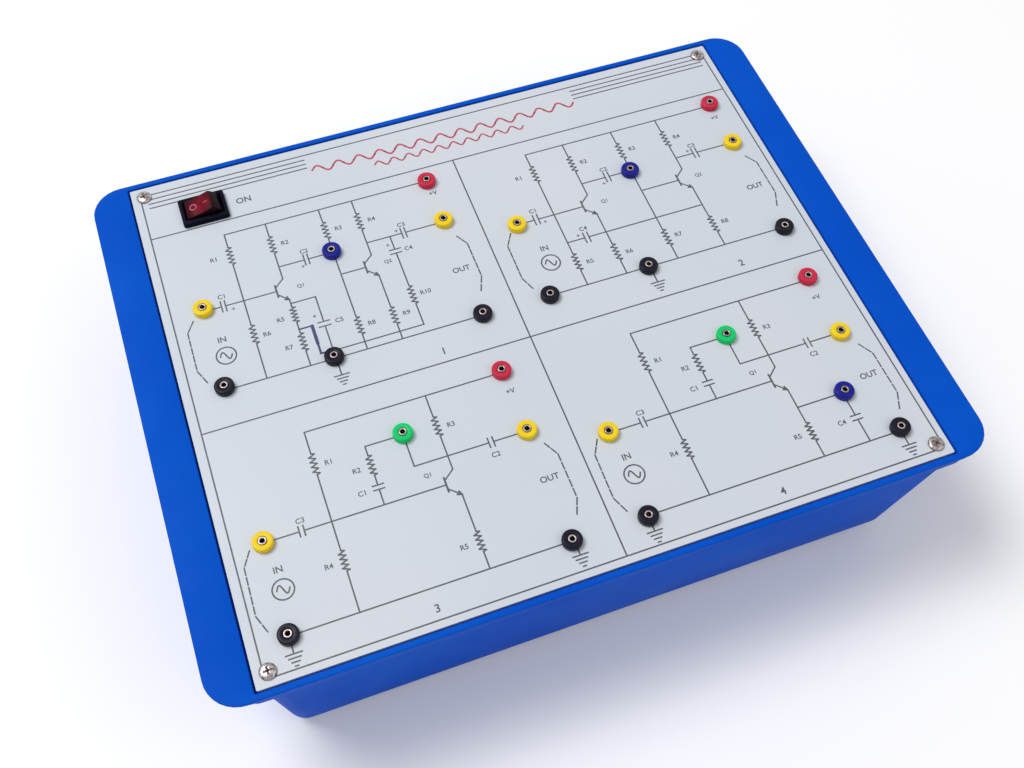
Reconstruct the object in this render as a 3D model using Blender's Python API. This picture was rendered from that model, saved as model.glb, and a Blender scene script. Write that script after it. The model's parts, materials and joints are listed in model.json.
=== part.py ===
"""Feedback amplifier trainer: a moulded cabinet, a panel of 2 mm sockets, a rocker switch and a power supply.

Metres, +Z up. The origin is under the middle of the cabinet, on the surface that the feet stand on.
+X runs along the panel to the right, and the front edge of the panel lies towards -Y.
"""

import math

import bmesh
import bpy
from mathutils import Matrix, Vector

for leftover in list(bpy.data.objects):
    bpy.data.objects.remove(leftover, do_unlink=True)

# Shared fits
clearance = 0.0003
cut_overrun = 0.002
embed = 0.0008

# Front panel: the cabinet is sized round it
panel_width = 0.290
panel_depth = 0.245
panel_thickness = 0.003
panel_sink = 0.0003
panel_gap = 0.0009
panel_corner_radius = 0.0006

# Cabinet: one moulded tub with a flat wing along each short side
cabinet_height = 0.076
wing_width = 0.0169
wing_corner_radius = 0.0138
wing_thickness = 0.0025
wing_root_thickening = 0.0008
rim_strip = 0.0027
rim_edge_round = 0.0006
wall_thickness = 0.0025
side_draft = 0.0035
front_draft = 0.0095
body_corner_radius = 0.009
shoulder_radius = 0.003
floor_round = 0.005
inner_corner_radius = 0.0065
inner_floor_round = 0.003
screw_post_radius = 0.020
screw_post_height = 0.016
screw_post_taper = 0.008
ledge_overlap_side = 0.003
ledge_overlap_front = 0.002
corner_steps = 5

# Print on the panel: a frame, a header and four cells that the sockets stand in
frame_margin_side = 0.0035
frame_margin_front = 0.0035
header_depth = 0.0262
cell_split_share = 0.503

# Panel screws
screw_inset = 0.0057
screw_head_radius = 0.0035
screw_head_height = 0.0016
screw_head_edge = 0.0006
screw_shank_radius = 0.0014
screw_shank_length = 0.0135
screw_hole_radius = 0.0023
screw_recess_width = 0.0009
screw_recess_reach = 0.0019
screw_recess_depth = 0.0008
pilot_depth = 0.0125

# Sockets for 2 mm plugs
socket_bore_radius = 0.001
socket_bore_depth = 0.010
socket_contact_radius = 0.0017
socket_contact_proud = 0.0002
socket_head_radius = 0.0042
socket_head_height = 0.0026
socket_head_chamfer = 0.0005
socket_barrel_radius = 0.003
socket_nut_corner_radius = 0.0048
socket_nut_height = 0.0024
socket_tail_radius = 0.0014
socket_tail_length = 0.0055
socket_sides = 18
bore_sides = 9
barrel_sides = 6

# Rocker switch
bezel_length = 0.021
bezel_width = 0.0155
bezel_height = 0.0022
bezel_edge = 0.0007
bezel_corner_radius = 0.0012
switch_body_length = 0.0190
switch_body_width = 0.0129
switch_body_depth = 0.0120
switch_corner_radius = 0.0006
switch_window_width = 0.0108
switch_floor = 0.0030
rocker_half_length = 0.0059
rocker_crest_rise = 0.0060
rocker_slope = math.radians(5.0)
rocker_tilt = math.radians(18.0)
rocker_skirt_angle = math.radians(22.0)
rocker_crest_round = 0.0003
rocker_valley_round = 0.0024
rocker_valley_steps = 2
rocker_skirt_steps = 4
pivot_drop = 0.0008
pivot_pin_radius = 0.0010
pivot_pin_reach = 0.00045
clip_reach = 0.0009
clip_width = 0.0060
clip_height = 0.0050
terminal_width = 0.0048
terminal_thickness = 0.0008
terminal_length = 0.0075
terminal_pitch = 0.0068
switch_inset_x = 0.0300
switch_inset_y = 0.0217

# Feet
foot_height = 0.0035
foot_top_radius = 0.0075
foot_bottom_radius = 0.0065
foot_inset_x_share = 0.86
foot_inset_y_share = 0.83

# Mains cord grommet in the rear wall
grommet_bore_radius = 0.0060
grommet_neck_radius = 0.0075
grommet_flange_radius = 0.0100
grommet_flange = 0.0016
grommet_x_share = -0.62
grommet_height_share = 0.355

# Transformer
core_width = 0.041
core_height = 0.0342
core_stack = 0.0145
core_limb = 0.0137
core_yoke = 0.00685
bobbin_flange = 0.0012
bobbin_overhang = 0.0072
winding_setback = 0.0010
strap_thickness = 0.0010
strap_tab_length = 0.0085
strap_hole_radius = 0.0019
transformer_y_share = 0.42

# Boards, the pillars that carry them, and their screws
wall_margin = 0.016
board_gap = 0.021
board_thickness = 0.0016
board_corner_radius = 0.001
board_hole_radius = 0.0017
board_hole_inset = 0.0045
supply_board_width = 0.074
supply_board_depth = 0.054
supply_board_y_share = -0.42
amplifier_board_depth = 0.110
amplifier_board_y_share = 0.0
pillar_radius = 0.0032
pillar_height = 0.006
pillar_pilot_radius = 0.0014
pillar_pilot_depth = 0.0045
boss_height = 0.003
small_screw_head_radius = 0.0026
small_screw_head_height = 0.0018
small_screw_shank_radius = 0.0011
small_screw_length = 0.0055

# Parts on the supply board
reservoir_radius = 0.0065
reservoir_height = 0.026
reservoir_crimp_setback = 0.0006
reservoir_crimp_height = 0.0032
reservoir_crimp_width = 0.0010
reservoir_x_share = 0.30
reservoir_y_share = 0.35
rectifier_radius = 0.0045
rectifier_height = 0.0055
rectifier_x_share = -0.25
rectifier_y_share = 0.45
regulator_width = 0.0100
regulator_thickness = 0.0044
regulator_tab_thickness = 0.0012
regulator_body_height = 0.0090
regulator_tab_height = 0.0155
regulator_stand = 0.0040
regulator_leg_width = 0.0062
regulator_leg_thickness = 0.0006
sink_width = 0.024
sink_height = 0.025
sink_depth = 0.012
sink_web = 0.0015
sink_fin = 0.0012
sink_fin_count = 7
sink_x_share = 0.25
sink_y_share = -0.62
fuse_length = 0.020
fuse_radius = 0.0026
fuse_cap_length = 0.0050
fuse_glass_setback = 0.0003
fuse_clip_radius = 0.0034
fuse_clip_width = 0.0036
fuse_clip_base = 0.0016
fuse_clip_half_mouth = math.radians(50.0)
fuse_clip_steps = 8
fuse_x_share = -0.62
fuse_y_share = -0.20

# Parts on the amplifier board
transistor_radius = 0.0023
transistor_height = 0.0048
transistor_stand = 0.0025
transistor_leg_width = 0.0030
transistor_leg_thickness = 0.0006
coupling_capacitor_radius = 0.0026
coupling_capacitor_height = 0.0085
resistor_radius = 0.0013
resistor_length = 0.0064
transistor_shares = [(-0.72, 0.45), (-0.40, 0.45), (0.28, 0.45), (0.62, 0.45), (-0.56, -0.55), (0.45, -0.55)]
capacitor_shares = [(column, row) for column in (-0.84, -0.20, 0.10, 0.80) for row in (-0.20, 0.72)]
resistor_shares = [(column, row) for column in (-0.80, -0.25, 0.15, 0.72) for row in (-0.78, 0.12)]

# Heights and half-sizes that follow from the values above
z_base = foot_height + clearance
z_rim = z_base + cabinet_height
z_floor = z_base + wall_thickness
z_panel = z_rim - panel_sink
z_panel_under = z_panel - panel_thickness
z_ledge = z_panel_under - clearance
half_panel_x = panel_width / 2
half_panel_y = panel_depth / 2
half_wing = half_panel_x + panel_gap + wing_width
half_rim = half_panel_y + panel_gap + rim_strip
inner_top_x = half_panel_x - ledge_overlap_side
inner_top_y = half_panel_y - ledge_overlap_front
outer_top_x = inner_top_x + wall_thickness
outer_floor_x = outer_top_x - side_draft
outer_floor_y = half_rim - front_draft
inner_floor_x = outer_floor_x - wall_thickness
inner_floor_y = outer_floor_y - wall_thickness


def outer_half_depth(z):
    """Half the cabinet's outside depth at a height: the front and rear walls lean in towards the floor."""
    share = (z_rim - z) / cabinet_height
    return half_rim - front_draft * share


def inner_half_depth(z):
    """Half the cabinet's inside depth at a height, between the ledge and the floor."""
    share = (z_ledge - z) / (z_ledge - z_floor)
    return inner_top_y + (inner_floor_y - inner_top_y) * share


def inner_half_width(z):
    """Half the cabinet's inside width at a height, between the ledge and the floor."""
    share = (z_ledge - z) / (z_ledge - z_floor)
    return inner_top_x + (inner_floor_x - inner_top_x) * share


def material(name, colour, roughness, metallic=0.0):
    """A plain Principled material."""
    made = bpy.data.materials.new(name)
    made.use_nodes = True
    shader = made.node_tree.nodes["Principled BSDF"]
    shader.inputs["Base Color"].default_value = (*colour, 1.0)
    shader.inputs["Roughness"].default_value = roughness
    shader.inputs["Metallic"].default_value = metallic
    return made


blue_plastic = material("blue_plastic", (0.005, 0.08, 0.55), 0.45)
panel_laminate = material("panel_laminate", (0.66, 0.69, 0.74), 0.40)
nickel = material("nickel", (0.72, 0.70, 0.66), 0.25, 1.0)
black_plastic = material("black_plastic", (0.012, 0.012, 0.014), 0.35)
red_rocker = material("red_rocker", (0.30, 0.012, 0.015), 0.25)
rubber = material("rubber", (0.02, 0.02, 0.02), 0.80)
core_steel = material("core_steel", (0.22, 0.22, 0.23), 0.50, 1.0)
strap_steel = material("strap_steel", (0.55, 0.55, 0.56), 0.35, 1.0)
winding_tape = material("winding_tape", (0.75, 0.50, 0.08), 0.55)
board_laminate = material("board_laminate", (0.03, 0.22, 0.08), 0.50)
can_sleeve = material("can_sleeve", (0.02, 0.03, 0.09), 0.40)
moulded_black = material("moulded_black", (0.015, 0.015, 0.015), 0.55)
sink_aluminium = material("sink_aluminium", (0.60, 0.61, 0.62), 0.40, 1.0)
fuse_glass = material("fuse_glass", (0.70, 0.72, 0.72), 0.15)
socket_plastics = {
    "yellow": material("yellow_plastic", (0.90, 0.66, 0.02), 0.35),
    "black": material("socket_black_plastic", (0.012, 0.013, 0.02), 0.35),
    "red": material("red_plastic", (0.60, 0.03, 0.06), 0.35),
    "blue": material("socket_blue_plastic", (0.02, 0.03, 0.42), 0.35),
    "green": material("green_plastic", (0.0, 0.50, 0.16), 0.35),
}


def place(name, bm, finish, location=(0, 0, 0), rotation=(0, 0, 0)):
    """Turns a bmesh into a named object with its material, and frees the bmesh."""
    bmesh.ops.recalc_face_normals(bm, faces=bm.faces)
    if bm.calc_volume(signed=True) < 0:
        bmesh.ops.reverse_faces(bm, faces=bm.faces)
    mesh = bpy.data.meshes.new(name)
    bm.to_mesh(mesh)
    bm.free()
    mesh.shade_smooth()
    mesh.set_sharp_from_angle(angle=math.radians(35))
    piece = bpy.data.objects.new(name, mesh)
    bpy.context.scene.collection.objects.link(piece)
    piece.location = location
    piece.rotation_euler = rotation
    if finish is not None:
        mesh.materials.append(finish)
    return piece


def add_modifier(piece, tool, operation):
    """Cuts a piece with a tool, or joins the tool to it. The tool itself isn't part of the model."""
    tool.hide_render = True
    tool.display_type = "WIRE"
    step = piece.modifiers.new(tool.name, "BOOLEAN")
    step.object = tool
    step.operation = operation
    step.solver = "EXACT"


def cut(piece, tool):
    add_modifier(piece, tool, "DIFFERENCE")


def join(piece, tool):
    add_modifier(piece, tool, "UNION")


def rounded_rectangle(half_x, half_y, radius, z, steps=corner_steps):
    """Points of a rounded rectangle at one height, anticlockwise from above."""
    points = []
    for quarter, (side_x, side_y) in enumerate(((1, 1), (-1, 1), (-1, -1), (1, -1))):
        centre = Vector((side_x * (half_x - radius), side_y * (half_y - radius), z))
        for step in range(steps + 1):
            angle = math.pi / 2 * (quarter + step / steps)
            points.append(centre + Vector((radius * math.cos(angle), radius * math.sin(angle), 0)))
    return points


def circle(radius, z, sides):
    """Points of a circle at one height, anticlockwise from above."""
    angles = [math.tau * step / sides for step in range(sides)]
    return [(radius * math.cos(angle), radius * math.sin(angle), z) for angle in angles]


def skin(bm, near, far):
    """Faces between two rows of vertices: quads, or triangles that keep pace where one row has more."""
    if len(near) == len(far):
        for index in range(len(near)):
            following = (index + 1) % len(near)
            bm.faces.new((near[index], near[following], far[following], far[index]))
        return
    near_step = 0
    far_step = 0
    while near_step < len(near) or far_step < len(far):
        corners = [near[near_step % len(near)], far[far_step % len(far)]]
        if (near_step + 0.5) / len(near) < (far_step + 0.5) / len(far):
            near_step += 1
            corners.append(near[near_step % len(near)])
        else:
            far_step += 1
            corners.append(far[far_step % len(far)])
        bm.faces.new(corners)


def loft(bm, loops, ring=False):
    """Skins loops in turn. The ends are capped, or joined to each other when it is a ring."""
    rows = [[bm.verts.new(point) for point in loop] for loop in loops]
    pairs = list(zip(rows, rows[1:]))
    if ring:
        pairs.append((rows[-1], rows[0]))
    else:
        bm.faces.new(rows[0])
        bm.faces.new(rows[-1])
    for near, far in pairs:
        skin(bm, near, far)


def box(bm, low, high):
    """A block between two corners."""
    centre = (Vector(low) + Vector(high)) / 2
    size = Vector(high) - Vector(low)
    made = bmesh.ops.create_cube(bm, size=1.0)["verts"]
    bmesh.ops.scale(bm, vec=size, verts=made)
    bmesh.ops.translate(bm, vec=centre, verts=made)


def cylinder(bm, radius, low, high, at=(0, 0), sides=16, top_radius=None):
    """An upright cylinder or cone between two heights."""
    middle = Matrix.Translation((at[0], at[1], (low + high) / 2))
    bmesh.ops.create_cone(bm, cap_ends=True, segments=sides, radius1=radius, matrix=middle, depth=high - low,
                          radius2=radius if top_radius is None else top_radius)


def turned(bm, profile, sides):
    """A body turned about Z from a profile of (radius, height) points. A closed profile makes a ring."""
    points = [bm.verts.new((radius, 0, height)) for radius, height in profile]
    edges = [bm.edges.new(pair) for pair in zip(points, points[1:])]
    if min(radius for radius, height in profile) > 0:
        edges.append(bm.edges.new((points[-1], points[0])))
    bmesh.ops.spin(bm, geom=points + edges, cent=(0, 0, 0), axis=(0, 0, 1), angle=math.tau, steps=sides,
                   use_merge=True)
    bmesh.ops.remove_doubles(bm, verts=bm.verts, dist=clearance / 100)


def extruded(bm, outline, reach):
    """Extrudes a flat outline by a vector."""
    face = bm.faces.new([bm.verts.new(point) for point in outline])
    grown = bmesh.ops.extrude_face_region(bm, geom=[face])["geom"]
    moved = [item for item in grown if isinstance(item, bmesh.types.BMVert)]
    bmesh.ops.translate(bm, vec=reach, verts=moved)


def extruded_sideways(bm, outline, low, high):
    """Extrudes an outline of (x, z) points along Y, from low to high."""
    extruded(bm, [(x, low, z) for x, z in outline], (0, high - low, 0))


def board_corners(centre, width, depth):
    """Hole centres at the corners of a board."""
    reach_x = width / 2 - board_hole_inset
    reach_y = depth / 2 - board_hole_inset
    return [(centre[0] + side_x * reach_x, centre[1] + side_y * reach_y)
            for side_y in (-1, 1) for side_x in (-1, 1)]


# The transformer and the supply board stand by the left wall, and the amplifier board fills the rest
strap_half_width = core_width / 2 + clearance + strap_thickness
strap_hole_x = strap_half_width + strap_tab_length / 2
left_margin_x = wall_margin - inner_floor_x
transformer_at = (left_margin_x + strap_half_width + strap_tab_length, inner_floor_y * transformer_y_share)
supply_at = (left_margin_x + supply_board_width / 2, inner_floor_y * supply_board_y_share)
amplifier_left = left_margin_x + supply_board_width + board_gap
amplifier_right = inner_floor_x - wall_margin
amplifier_board_width = amplifier_right - amplifier_left
amplifier_at = ((amplifier_left + amplifier_right) / 2, inner_floor_y * amplifier_board_y_share)
supply_corners = board_corners(supply_at, supply_board_width, supply_board_depth)
amplifier_corners = board_corners(amplifier_at, amplifier_board_width, amplifier_board_depth)
supply_screw_places = [supply_corners[0], supply_corners[3]]
transformer_screw_places = [(transformer_at[0] + side * strap_hole_x, transformer_at[1]) for side in (-1, 1)]
panel_screw_places = [(side_x * (half_panel_x - screw_inset), side_y * (half_panel_y - screw_inset))
                      for side_y in (1, -1) for side_x in (-1, 1)]
z_pillar = z_floor + pillar_height
z_boss = z_floor + boss_height

# The grommet stands square to the leaning rear wall
grommet_z = z_base + cabinet_height * grommet_height_share
grommet_wall_y = outer_half_depth(grommet_z)
grommet_wall = grommet_wall_y - inner_half_depth(grommet_z)
rear_lean = math.atan2(front_draft, cabinet_height)
grommet_x = inner_floor_x * grommet_x_share
grommet_turn = (-math.pi / 2 - rear_lean, 0, 0)


def cabinet_loops():
    """Loops over the cabinet's skin: inside of the floor, walls, ledge, rim, wings, outside, underside."""
    rebate_x = half_panel_x + panel_gap
    rebate_y = half_panel_y + panel_gap
    z_post = z_ledge - screw_post_height
    z_post_end = z_post - screw_post_taper
    z_inner = z_floor + inner_floor_round
    z_wing = z_rim - wing_thickness
    z_root = z_wing - wing_root_thickening
    z_step = z_ledge - wall_thickness
    z_step_root = z_step - wing_root_thickening
    step_x = rebate_x + wall_thickness
    z_bend = z_base + floor_round
    bend = floor_round * (1 - math.cos(math.pi / 4))
    post_x = inner_half_width(z_post)
    post_y = inner_half_depth(z_post)
    end_x = inner_half_width(z_post_end)
    end_y = inner_half_depth(z_post_end)
    rim_x = half_wing - rim_edge_round
    rim_y = half_rim - rim_edge_round
    under_x = outer_floor_x - floor_round
    under_y = outer_floor_y - floor_round
    bend_x = outer_floor_x - bend
    bend_y = outer_floor_y - bend
    return [
        rounded_rectangle(inner_floor_x - inner_floor_round, inner_floor_y - inner_floor_round,
                          inner_corner_radius - inner_floor_round, z_floor),
        rounded_rectangle(inner_half_width(z_inner), inner_half_depth(z_inner),
                          inner_corner_radius, z_inner),
        rounded_rectangle(end_x, end_y, inner_corner_radius, z_post_end),
        rounded_rectangle(post_x, post_y, screw_post_radius, z_post),
        rounded_rectangle(inner_top_x, inner_top_y, screw_post_radius, z_ledge),
        rounded_rectangle(rebate_x, rebate_y, panel_corner_radius, z_ledge),
        rounded_rectangle(rebate_x, rebate_y, panel_corner_radius, z_rim),
        rounded_rectangle(rim_x, rim_y, wing_corner_radius - rim_edge_round, z_rim),
        rounded_rectangle(half_wing, outer_half_depth(z_rim - rim_edge_round), wing_corner_radius,
                          z_rim - rim_edge_round),
        rounded_rectangle(half_wing, outer_half_depth(z_wing), wing_corner_radius, z_wing),
        rounded_rectangle(step_x, outer_half_depth(z_root), shoulder_radius, z_root),
        rounded_rectangle(step_x, outer_half_depth(z_step), shoulder_radius, z_step),
        rounded_rectangle(outer_top_x, outer_half_depth(z_step_root), body_corner_radius, z_step_root),
        rounded_rectangle(outer_floor_x, outer_half_depth(z_bend), body_corner_radius, z_bend),
        rounded_rectangle(bend_x, bend_y, body_corner_radius - bend, z_base + bend),
        rounded_rectangle(under_x, under_y, body_corner_radius - floor_round, z_base),
    ]


def make_cabinet():
    bm = bmesh.new()
    loft(bm, cabinet_loops())
    tub = place("cabinet_tub", bm, blue_plastic)

    bm = bmesh.new()
    for at in amplifier_corners + supply_corners:
        cylinder(bm, pillar_radius + embed, z_floor - embed, z_pillar, at, 12, pillar_radius)
    for at in transformer_screw_places:
        cylinder(bm, pillar_radius + embed, z_floor - embed, z_boss, at, 12, pillar_radius)
    join(tub, place("tub_pillars", bm, None))

    bm = bmesh.new()
    for at in amplifier_corners + supply_screw_places:
        cylinder(bm, pillar_pilot_radius, z_pillar - pillar_pilot_depth, z_pillar + cut_overrun, at, 8)
    for at in transformer_screw_places:
        cylinder(bm, pillar_pilot_radius, z_boss - pillar_pilot_depth, z_boss + cut_overrun, at, 8)
    pilot_radius = screw_shank_radius + clearance
    for at in panel_screw_places:
        cylinder(bm, pilot_radius, z_ledge - pilot_depth, z_ledge + cut_overrun, at, 8)
    cut(tub, place("tub_pilot_holes", bm, None))

    bm = bmesh.new()
    reach = grommet_wall + 2 * cut_overrun
    cylinder(bm, grommet_neck_radius + clearance, -reach, reach, (0, 0), 20)
    cut(tub, place("tub_grommet_hole", bm, None, (grommet_x, grommet_wall_y, grommet_z), grommet_turn))


# Sockets in each cell of the print: colour, name, and place as shares of the cell from its lower left corner
socket_cell_shares = {
    1: [("yellow", "input", 0.1006, 0.5636), ("black", "input_ground", 0.1007, 0.1747),
        ("black", "middle_ground", 0.4287, 0.1665), ("blue", "base", 0.5257, 0.6748),
        ("red", "supply", 0.8934, 0.9069), ("yellow", "output", 0.8944, 0.6767),
        ("black", "output_ground", 0.8941, 0.1653)],
    2: [("yellow", "input", 0.1111, 0.5490), ("black", "input_ground", 0.1127, 0.1609),
        ("black", "middle_ground", 0.4461, 0.1612), ("blue", "base", 0.5447, 0.6689),
        ("red", "supply", 0.9231, 0.9173), ("yellow", "output", 0.9222, 0.6698),
        ("black", "output_ground", 0.9244, 0.1588)],
    3: [("yellow", "input", 0.0891, 0.4868), ("black", "input_ground", 0.0892, 0.1198),
        ("green", "feedback", 0.5434, 0.7452), ("red", "supply", 0.8793, 0.8836),
        ("yellow", "output", 0.8809, 0.5993), ("black", "output_ground", 0.8782, 0.1175)],
    4: [("yellow", "input", 0.0992, 0.4867), ("black", "input_ground", 0.1032, 0.1126),
        ("green", "feedback", 0.5660, 0.7394), ("red", "supply", 0.9037, 0.8888),
        ("yellow", "output", 0.9018, 0.5992), ("blue", "emitter", 0.8124, 0.3452),
        ("black", "output_ground", 0.9090, 0.1280)],
}


def cell_box(circuit):
    """The lower left corner and the size of a circuit's cell on the panel."""
    left = -half_panel_x + frame_margin_side
    bottom = -half_panel_y + frame_margin_front
    inside_width = panel_width - 2 * frame_margin_side
    inside_depth = panel_depth - 2 * frame_margin_front - header_depth
    left_width = inside_width * cell_split_share
    cell_depth = inside_depth / 2
    column_start = left if circuit in (1, 3) else left + left_width
    column_width = left_width if circuit in (1, 3) else inside_width - left_width
    row_start = bottom + cell_depth if circuit in (1, 2) else bottom
    return column_start, row_start, column_width, cell_depth


def socket_places():
    """Every socket's node name, colour and place on the panel."""
    rows = []
    for circuit, sockets in socket_cell_shares.items():
        start_x, start_y, width, depth = cell_box(circuit)
        for colour, use, share_x, share_y in sockets:
            at = (start_x + width * share_x, start_y + depth * share_y)
            rows.append((f"socket_{circuit}_{use}_{colour}", colour, at))
    return rows


def make_panel():
    bm = bmesh.new()
    loft(bm, [rounded_rectangle(half_panel_x, half_panel_y, panel_corner_radius, z_panel_under, 2),
              rounded_rectangle(half_panel_x, half_panel_y, panel_corner_radius, z_panel, 2)])
    panel = place("front_panel", bm, panel_laminate)

    bm = bmesh.new()
    low = z_panel_under - cut_overrun
    high = z_panel + cut_overrun
    for name, colour, at in socket_places():
        cylinder(bm, socket_barrel_radius + clearance, low, high, at, 10)
    for at in panel_screw_places:
        cylinder(bm, screw_hole_radius, low, high, at, 12)
    reach_x = switch_body_length / 2 + clearance
    reach_y = switch_body_width / 2 + clearance
    box(bm, (switch_x - reach_x, switch_y - reach_y, low), (switch_x + reach_x, switch_y + reach_y, high))
    cut(panel, place("panel_holes", bm, None))


def make_socket_mesh():
    """One socket about its own axis, the panel's top face at height 0: head, bore, barrel, nut and tail."""
    head_top = clearance + socket_head_height
    contact_top = head_top + socket_contact_proud
    nut_top = -panel_thickness - clearance
    nut_low = nut_top - socket_nut_height
    bm = bmesh.new()
    loft(bm, [
        circle(socket_bore_radius, contact_top - socket_bore_depth, bore_sides),
        circle(socket_bore_radius, contact_top, bore_sides),
        circle(socket_contact_radius, contact_top, bore_sides),
        circle(socket_contact_radius, head_top, bore_sides),
        circle(socket_head_radius - socket_head_chamfer, head_top, socket_sides),
        circle(socket_head_radius, head_top - socket_head_chamfer, socket_sides),
        circle(socket_head_radius, clearance, socket_sides),
        circle(socket_barrel_radius, clearance, barrel_sides),
        circle(socket_barrel_radius, nut_top, barrel_sides),
        circle(socket_nut_corner_radius, nut_top, barrel_sides),
        circle(socket_nut_corner_radius, nut_low, barrel_sides),
        circle(socket_tail_radius, nut_low, barrel_sides),
        circle(socket_tail_radius, nut_low - socket_tail_length, barrel_sides),
    ])
    return bm


def make_sockets():
    for name, colour, at in socket_places():
        place(name, make_socket_mesh(), socket_plastics[colour], (at[0], at[1], z_panel))


def make_panel_screws():
    """Pan-head screws with a cross recess, at the corners of the panel."""
    rim_low = clearance
    rim_high = rim_low + screw_head_edge
    crown = rim_low + screw_head_height
    dome = [(0, -screw_shank_length), (screw_shank_radius, -screw_shank_length + screw_shank_radius),
            (screw_shank_radius, rim_low), (screw_head_radius, rim_low), (screw_head_radius, rim_high)]
    for step in range(1, 4):
        angle = math.pi / 2 * step / 4
        dome.append((screw_head_radius * math.cos(angle), rim_high + (crown - rim_high) * math.sin(angle)))
    dome.append((0, crown))
    bm = bmesh.new()
    low = crown - screw_recess_depth
    high = crown + cut_overrun
    half_slot = screw_recess_width / 2
    box(bm, (-screw_recess_reach, -half_slot, low), (screw_recess_reach, half_slot, high))
    slot = place("screw_slot", bm, None)
    for number, at in enumerate(panel_screw_places, 1):
        bm = bmesh.new()
        turned(bm, dome, 12)
        screw = place(f"panel_screw_{number}", bm, nickel, (at[0], at[1], z_panel))
        for quarter in range(2):
            tool = slot.copy()
            bpy.context.scene.collection.objects.link(tool)
            tool.location = screw.location
            tool.rotation_euler = (0, 0, quarter * math.pi / 2)
            cut(screw, tool)
    bpy.data.objects.remove(slot, do_unlink=True)


switch_x = -half_panel_x + switch_inset_x
switch_y = half_panel_y - switch_inset_y
z_pivot = z_panel - pivot_drop
rocker_centre_rise = rocker_crest_rise - rocker_half_length * math.tan(rocker_slope)
rocker_reach = math.hypot(rocker_half_length, rocker_crest_rise)
rocker_width = switch_window_width - 2 * clearance
window_half_length = rocker_reach + clearance


def make_switch_housing():
    """The fixed part of the switch: bezel, body with the rocker's well, snap clips and blade terminals."""
    half_x = switch_body_length / 2
    half_y = switch_body_width / 2
    half_window = switch_window_width / 2
    half_length = bezel_length / 2
    half_bezel = bezel_width / 2
    corner = switch_corner_radius / 2
    top = clearance + bezel_height
    bottom = -switch_body_depth
    bm = bmesh.new()
    loft(bm, [
        rounded_rectangle(window_half_length, half_window, corner, bottom + switch_floor, 2),
        rounded_rectangle(window_half_length, half_window, corner, top, 2),
        rounded_rectangle(half_length - bezel_edge, half_bezel - bezel_edge,
                          bezel_corner_radius - bezel_edge, top, 2),
        rounded_rectangle(half_length, half_bezel, bezel_corner_radius, top - bezel_edge, 2),
        rounded_rectangle(half_length, half_bezel, bezel_corner_radius, clearance, 2),
        rounded_rectangle(half_x, half_y, switch_corner_radius, clearance, 2),
        rounded_rectangle(half_x, half_y, switch_corner_radius, bottom, 2),
    ])
    housing = place("switch_housing", bm, black_plastic, (switch_x, switch_y, z_panel))

    bm = bmesh.new()
    catch = -panel_thickness - clearance
    for side in (-1, 1):
        wedge = [(side * (half_x - embed), catch), (side * (half_x + clip_reach), catch),
                 (side * half_x, catch - clip_height), (side * (half_x - embed), catch - clip_height)]
        extruded_sideways(bm, wedge, -clip_width / 2, clip_width / 2)
    join(housing, place("switch_clips", bm, None, housing.location))

    bm = bmesh.new()
    for place_number in (-1, 0, 1):
        x = place_number * terminal_pitch
        box(bm, (x - terminal_thickness / 2, -terminal_width / 2, bottom - terminal_length),
            (x + terminal_thickness / 2, terminal_width / 2, bottom + embed))
    join(housing, place("switch_terminals", bm, None, housing.location))

    bm = bmesh.new()
    reach = half_y + cut_overrun
    cylinder(bm, pivot_pin_radius + clearance, -reach, reach, (0, 0), 16)
    cut(housing, place("switch_pivot_holes", bm, None, (switch_x, switch_y, z_pivot), (math.pi / 2, 0, 0)))


def rocker_outline():
    """The rocker's side view about its pivot, level: two slopes that meet in a valley, and a round skirt."""
    slope = math.tan(rocker_slope)
    valley = []
    for step in range(-rocker_valley_steps, rocker_valley_steps + 1):
        share = step / rocker_valley_steps
        lift = rocker_valley_round * slope / 2 * (1 + share ** 2)
        valley.append((rocker_valley_round * share, rocker_centre_rise + lift))
    skirt_start = math.atan2(rocker_crest_rise, rocker_half_length) - rocker_crest_round / rocker_reach
    right = [(rocker_half_length - rocker_crest_round, rocker_crest_rise - rocker_crest_round * slope)]
    for step in range(rocker_skirt_steps + 1):
        angle = skirt_start - (skirt_start + rocker_skirt_angle) * step / rocker_skirt_steps
        right.append((rocker_reach * math.cos(angle), rocker_reach * math.sin(angle)))
    return valley + right + [(-x, z) for x, z in reversed(right)]


def make_rocker():
    """The rocker at rest: pressed at its left end, so its right end stands up."""
    bm = bmesh.new()
    extruded_sideways(bm, rocker_outline(), -rocker_width / 2, rocker_width / 2)
    rocker = place("rocker", bm, red_rocker, (switch_x, switch_y, z_pivot), (0, -rocker_tilt, 0))

    bm = bmesh.new()
    reach = switch_window_width / 2 + pivot_pin_reach
    cylinder(bm, pivot_pin_radius, -reach, reach, (0, 0), 16)
    join(rocker, place("rocker_pin", bm, None, rocker.location, (math.pi / 2, 0, 0)))


def make_feet():
    """Rubber feet stuck under the floor."""
    reach_x = (outer_floor_x - floor_round) * foot_inset_x_share
    reach_y = (outer_floor_y - floor_round) * foot_inset_y_share
    corners = [(side_x, side_y) for side_y in (-1, 1) for side_x in (-1, 1)]
    for number, (side_x, side_y) in enumerate(corners, 1):
        bm = bmesh.new()
        cylinder(bm, foot_bottom_radius, 0, foot_height, (0, 0), 20, foot_top_radius)
        place(f"rubber_foot_{number}", bm, rubber, (side_x * reach_x, side_y * reach_y, 0))


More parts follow.
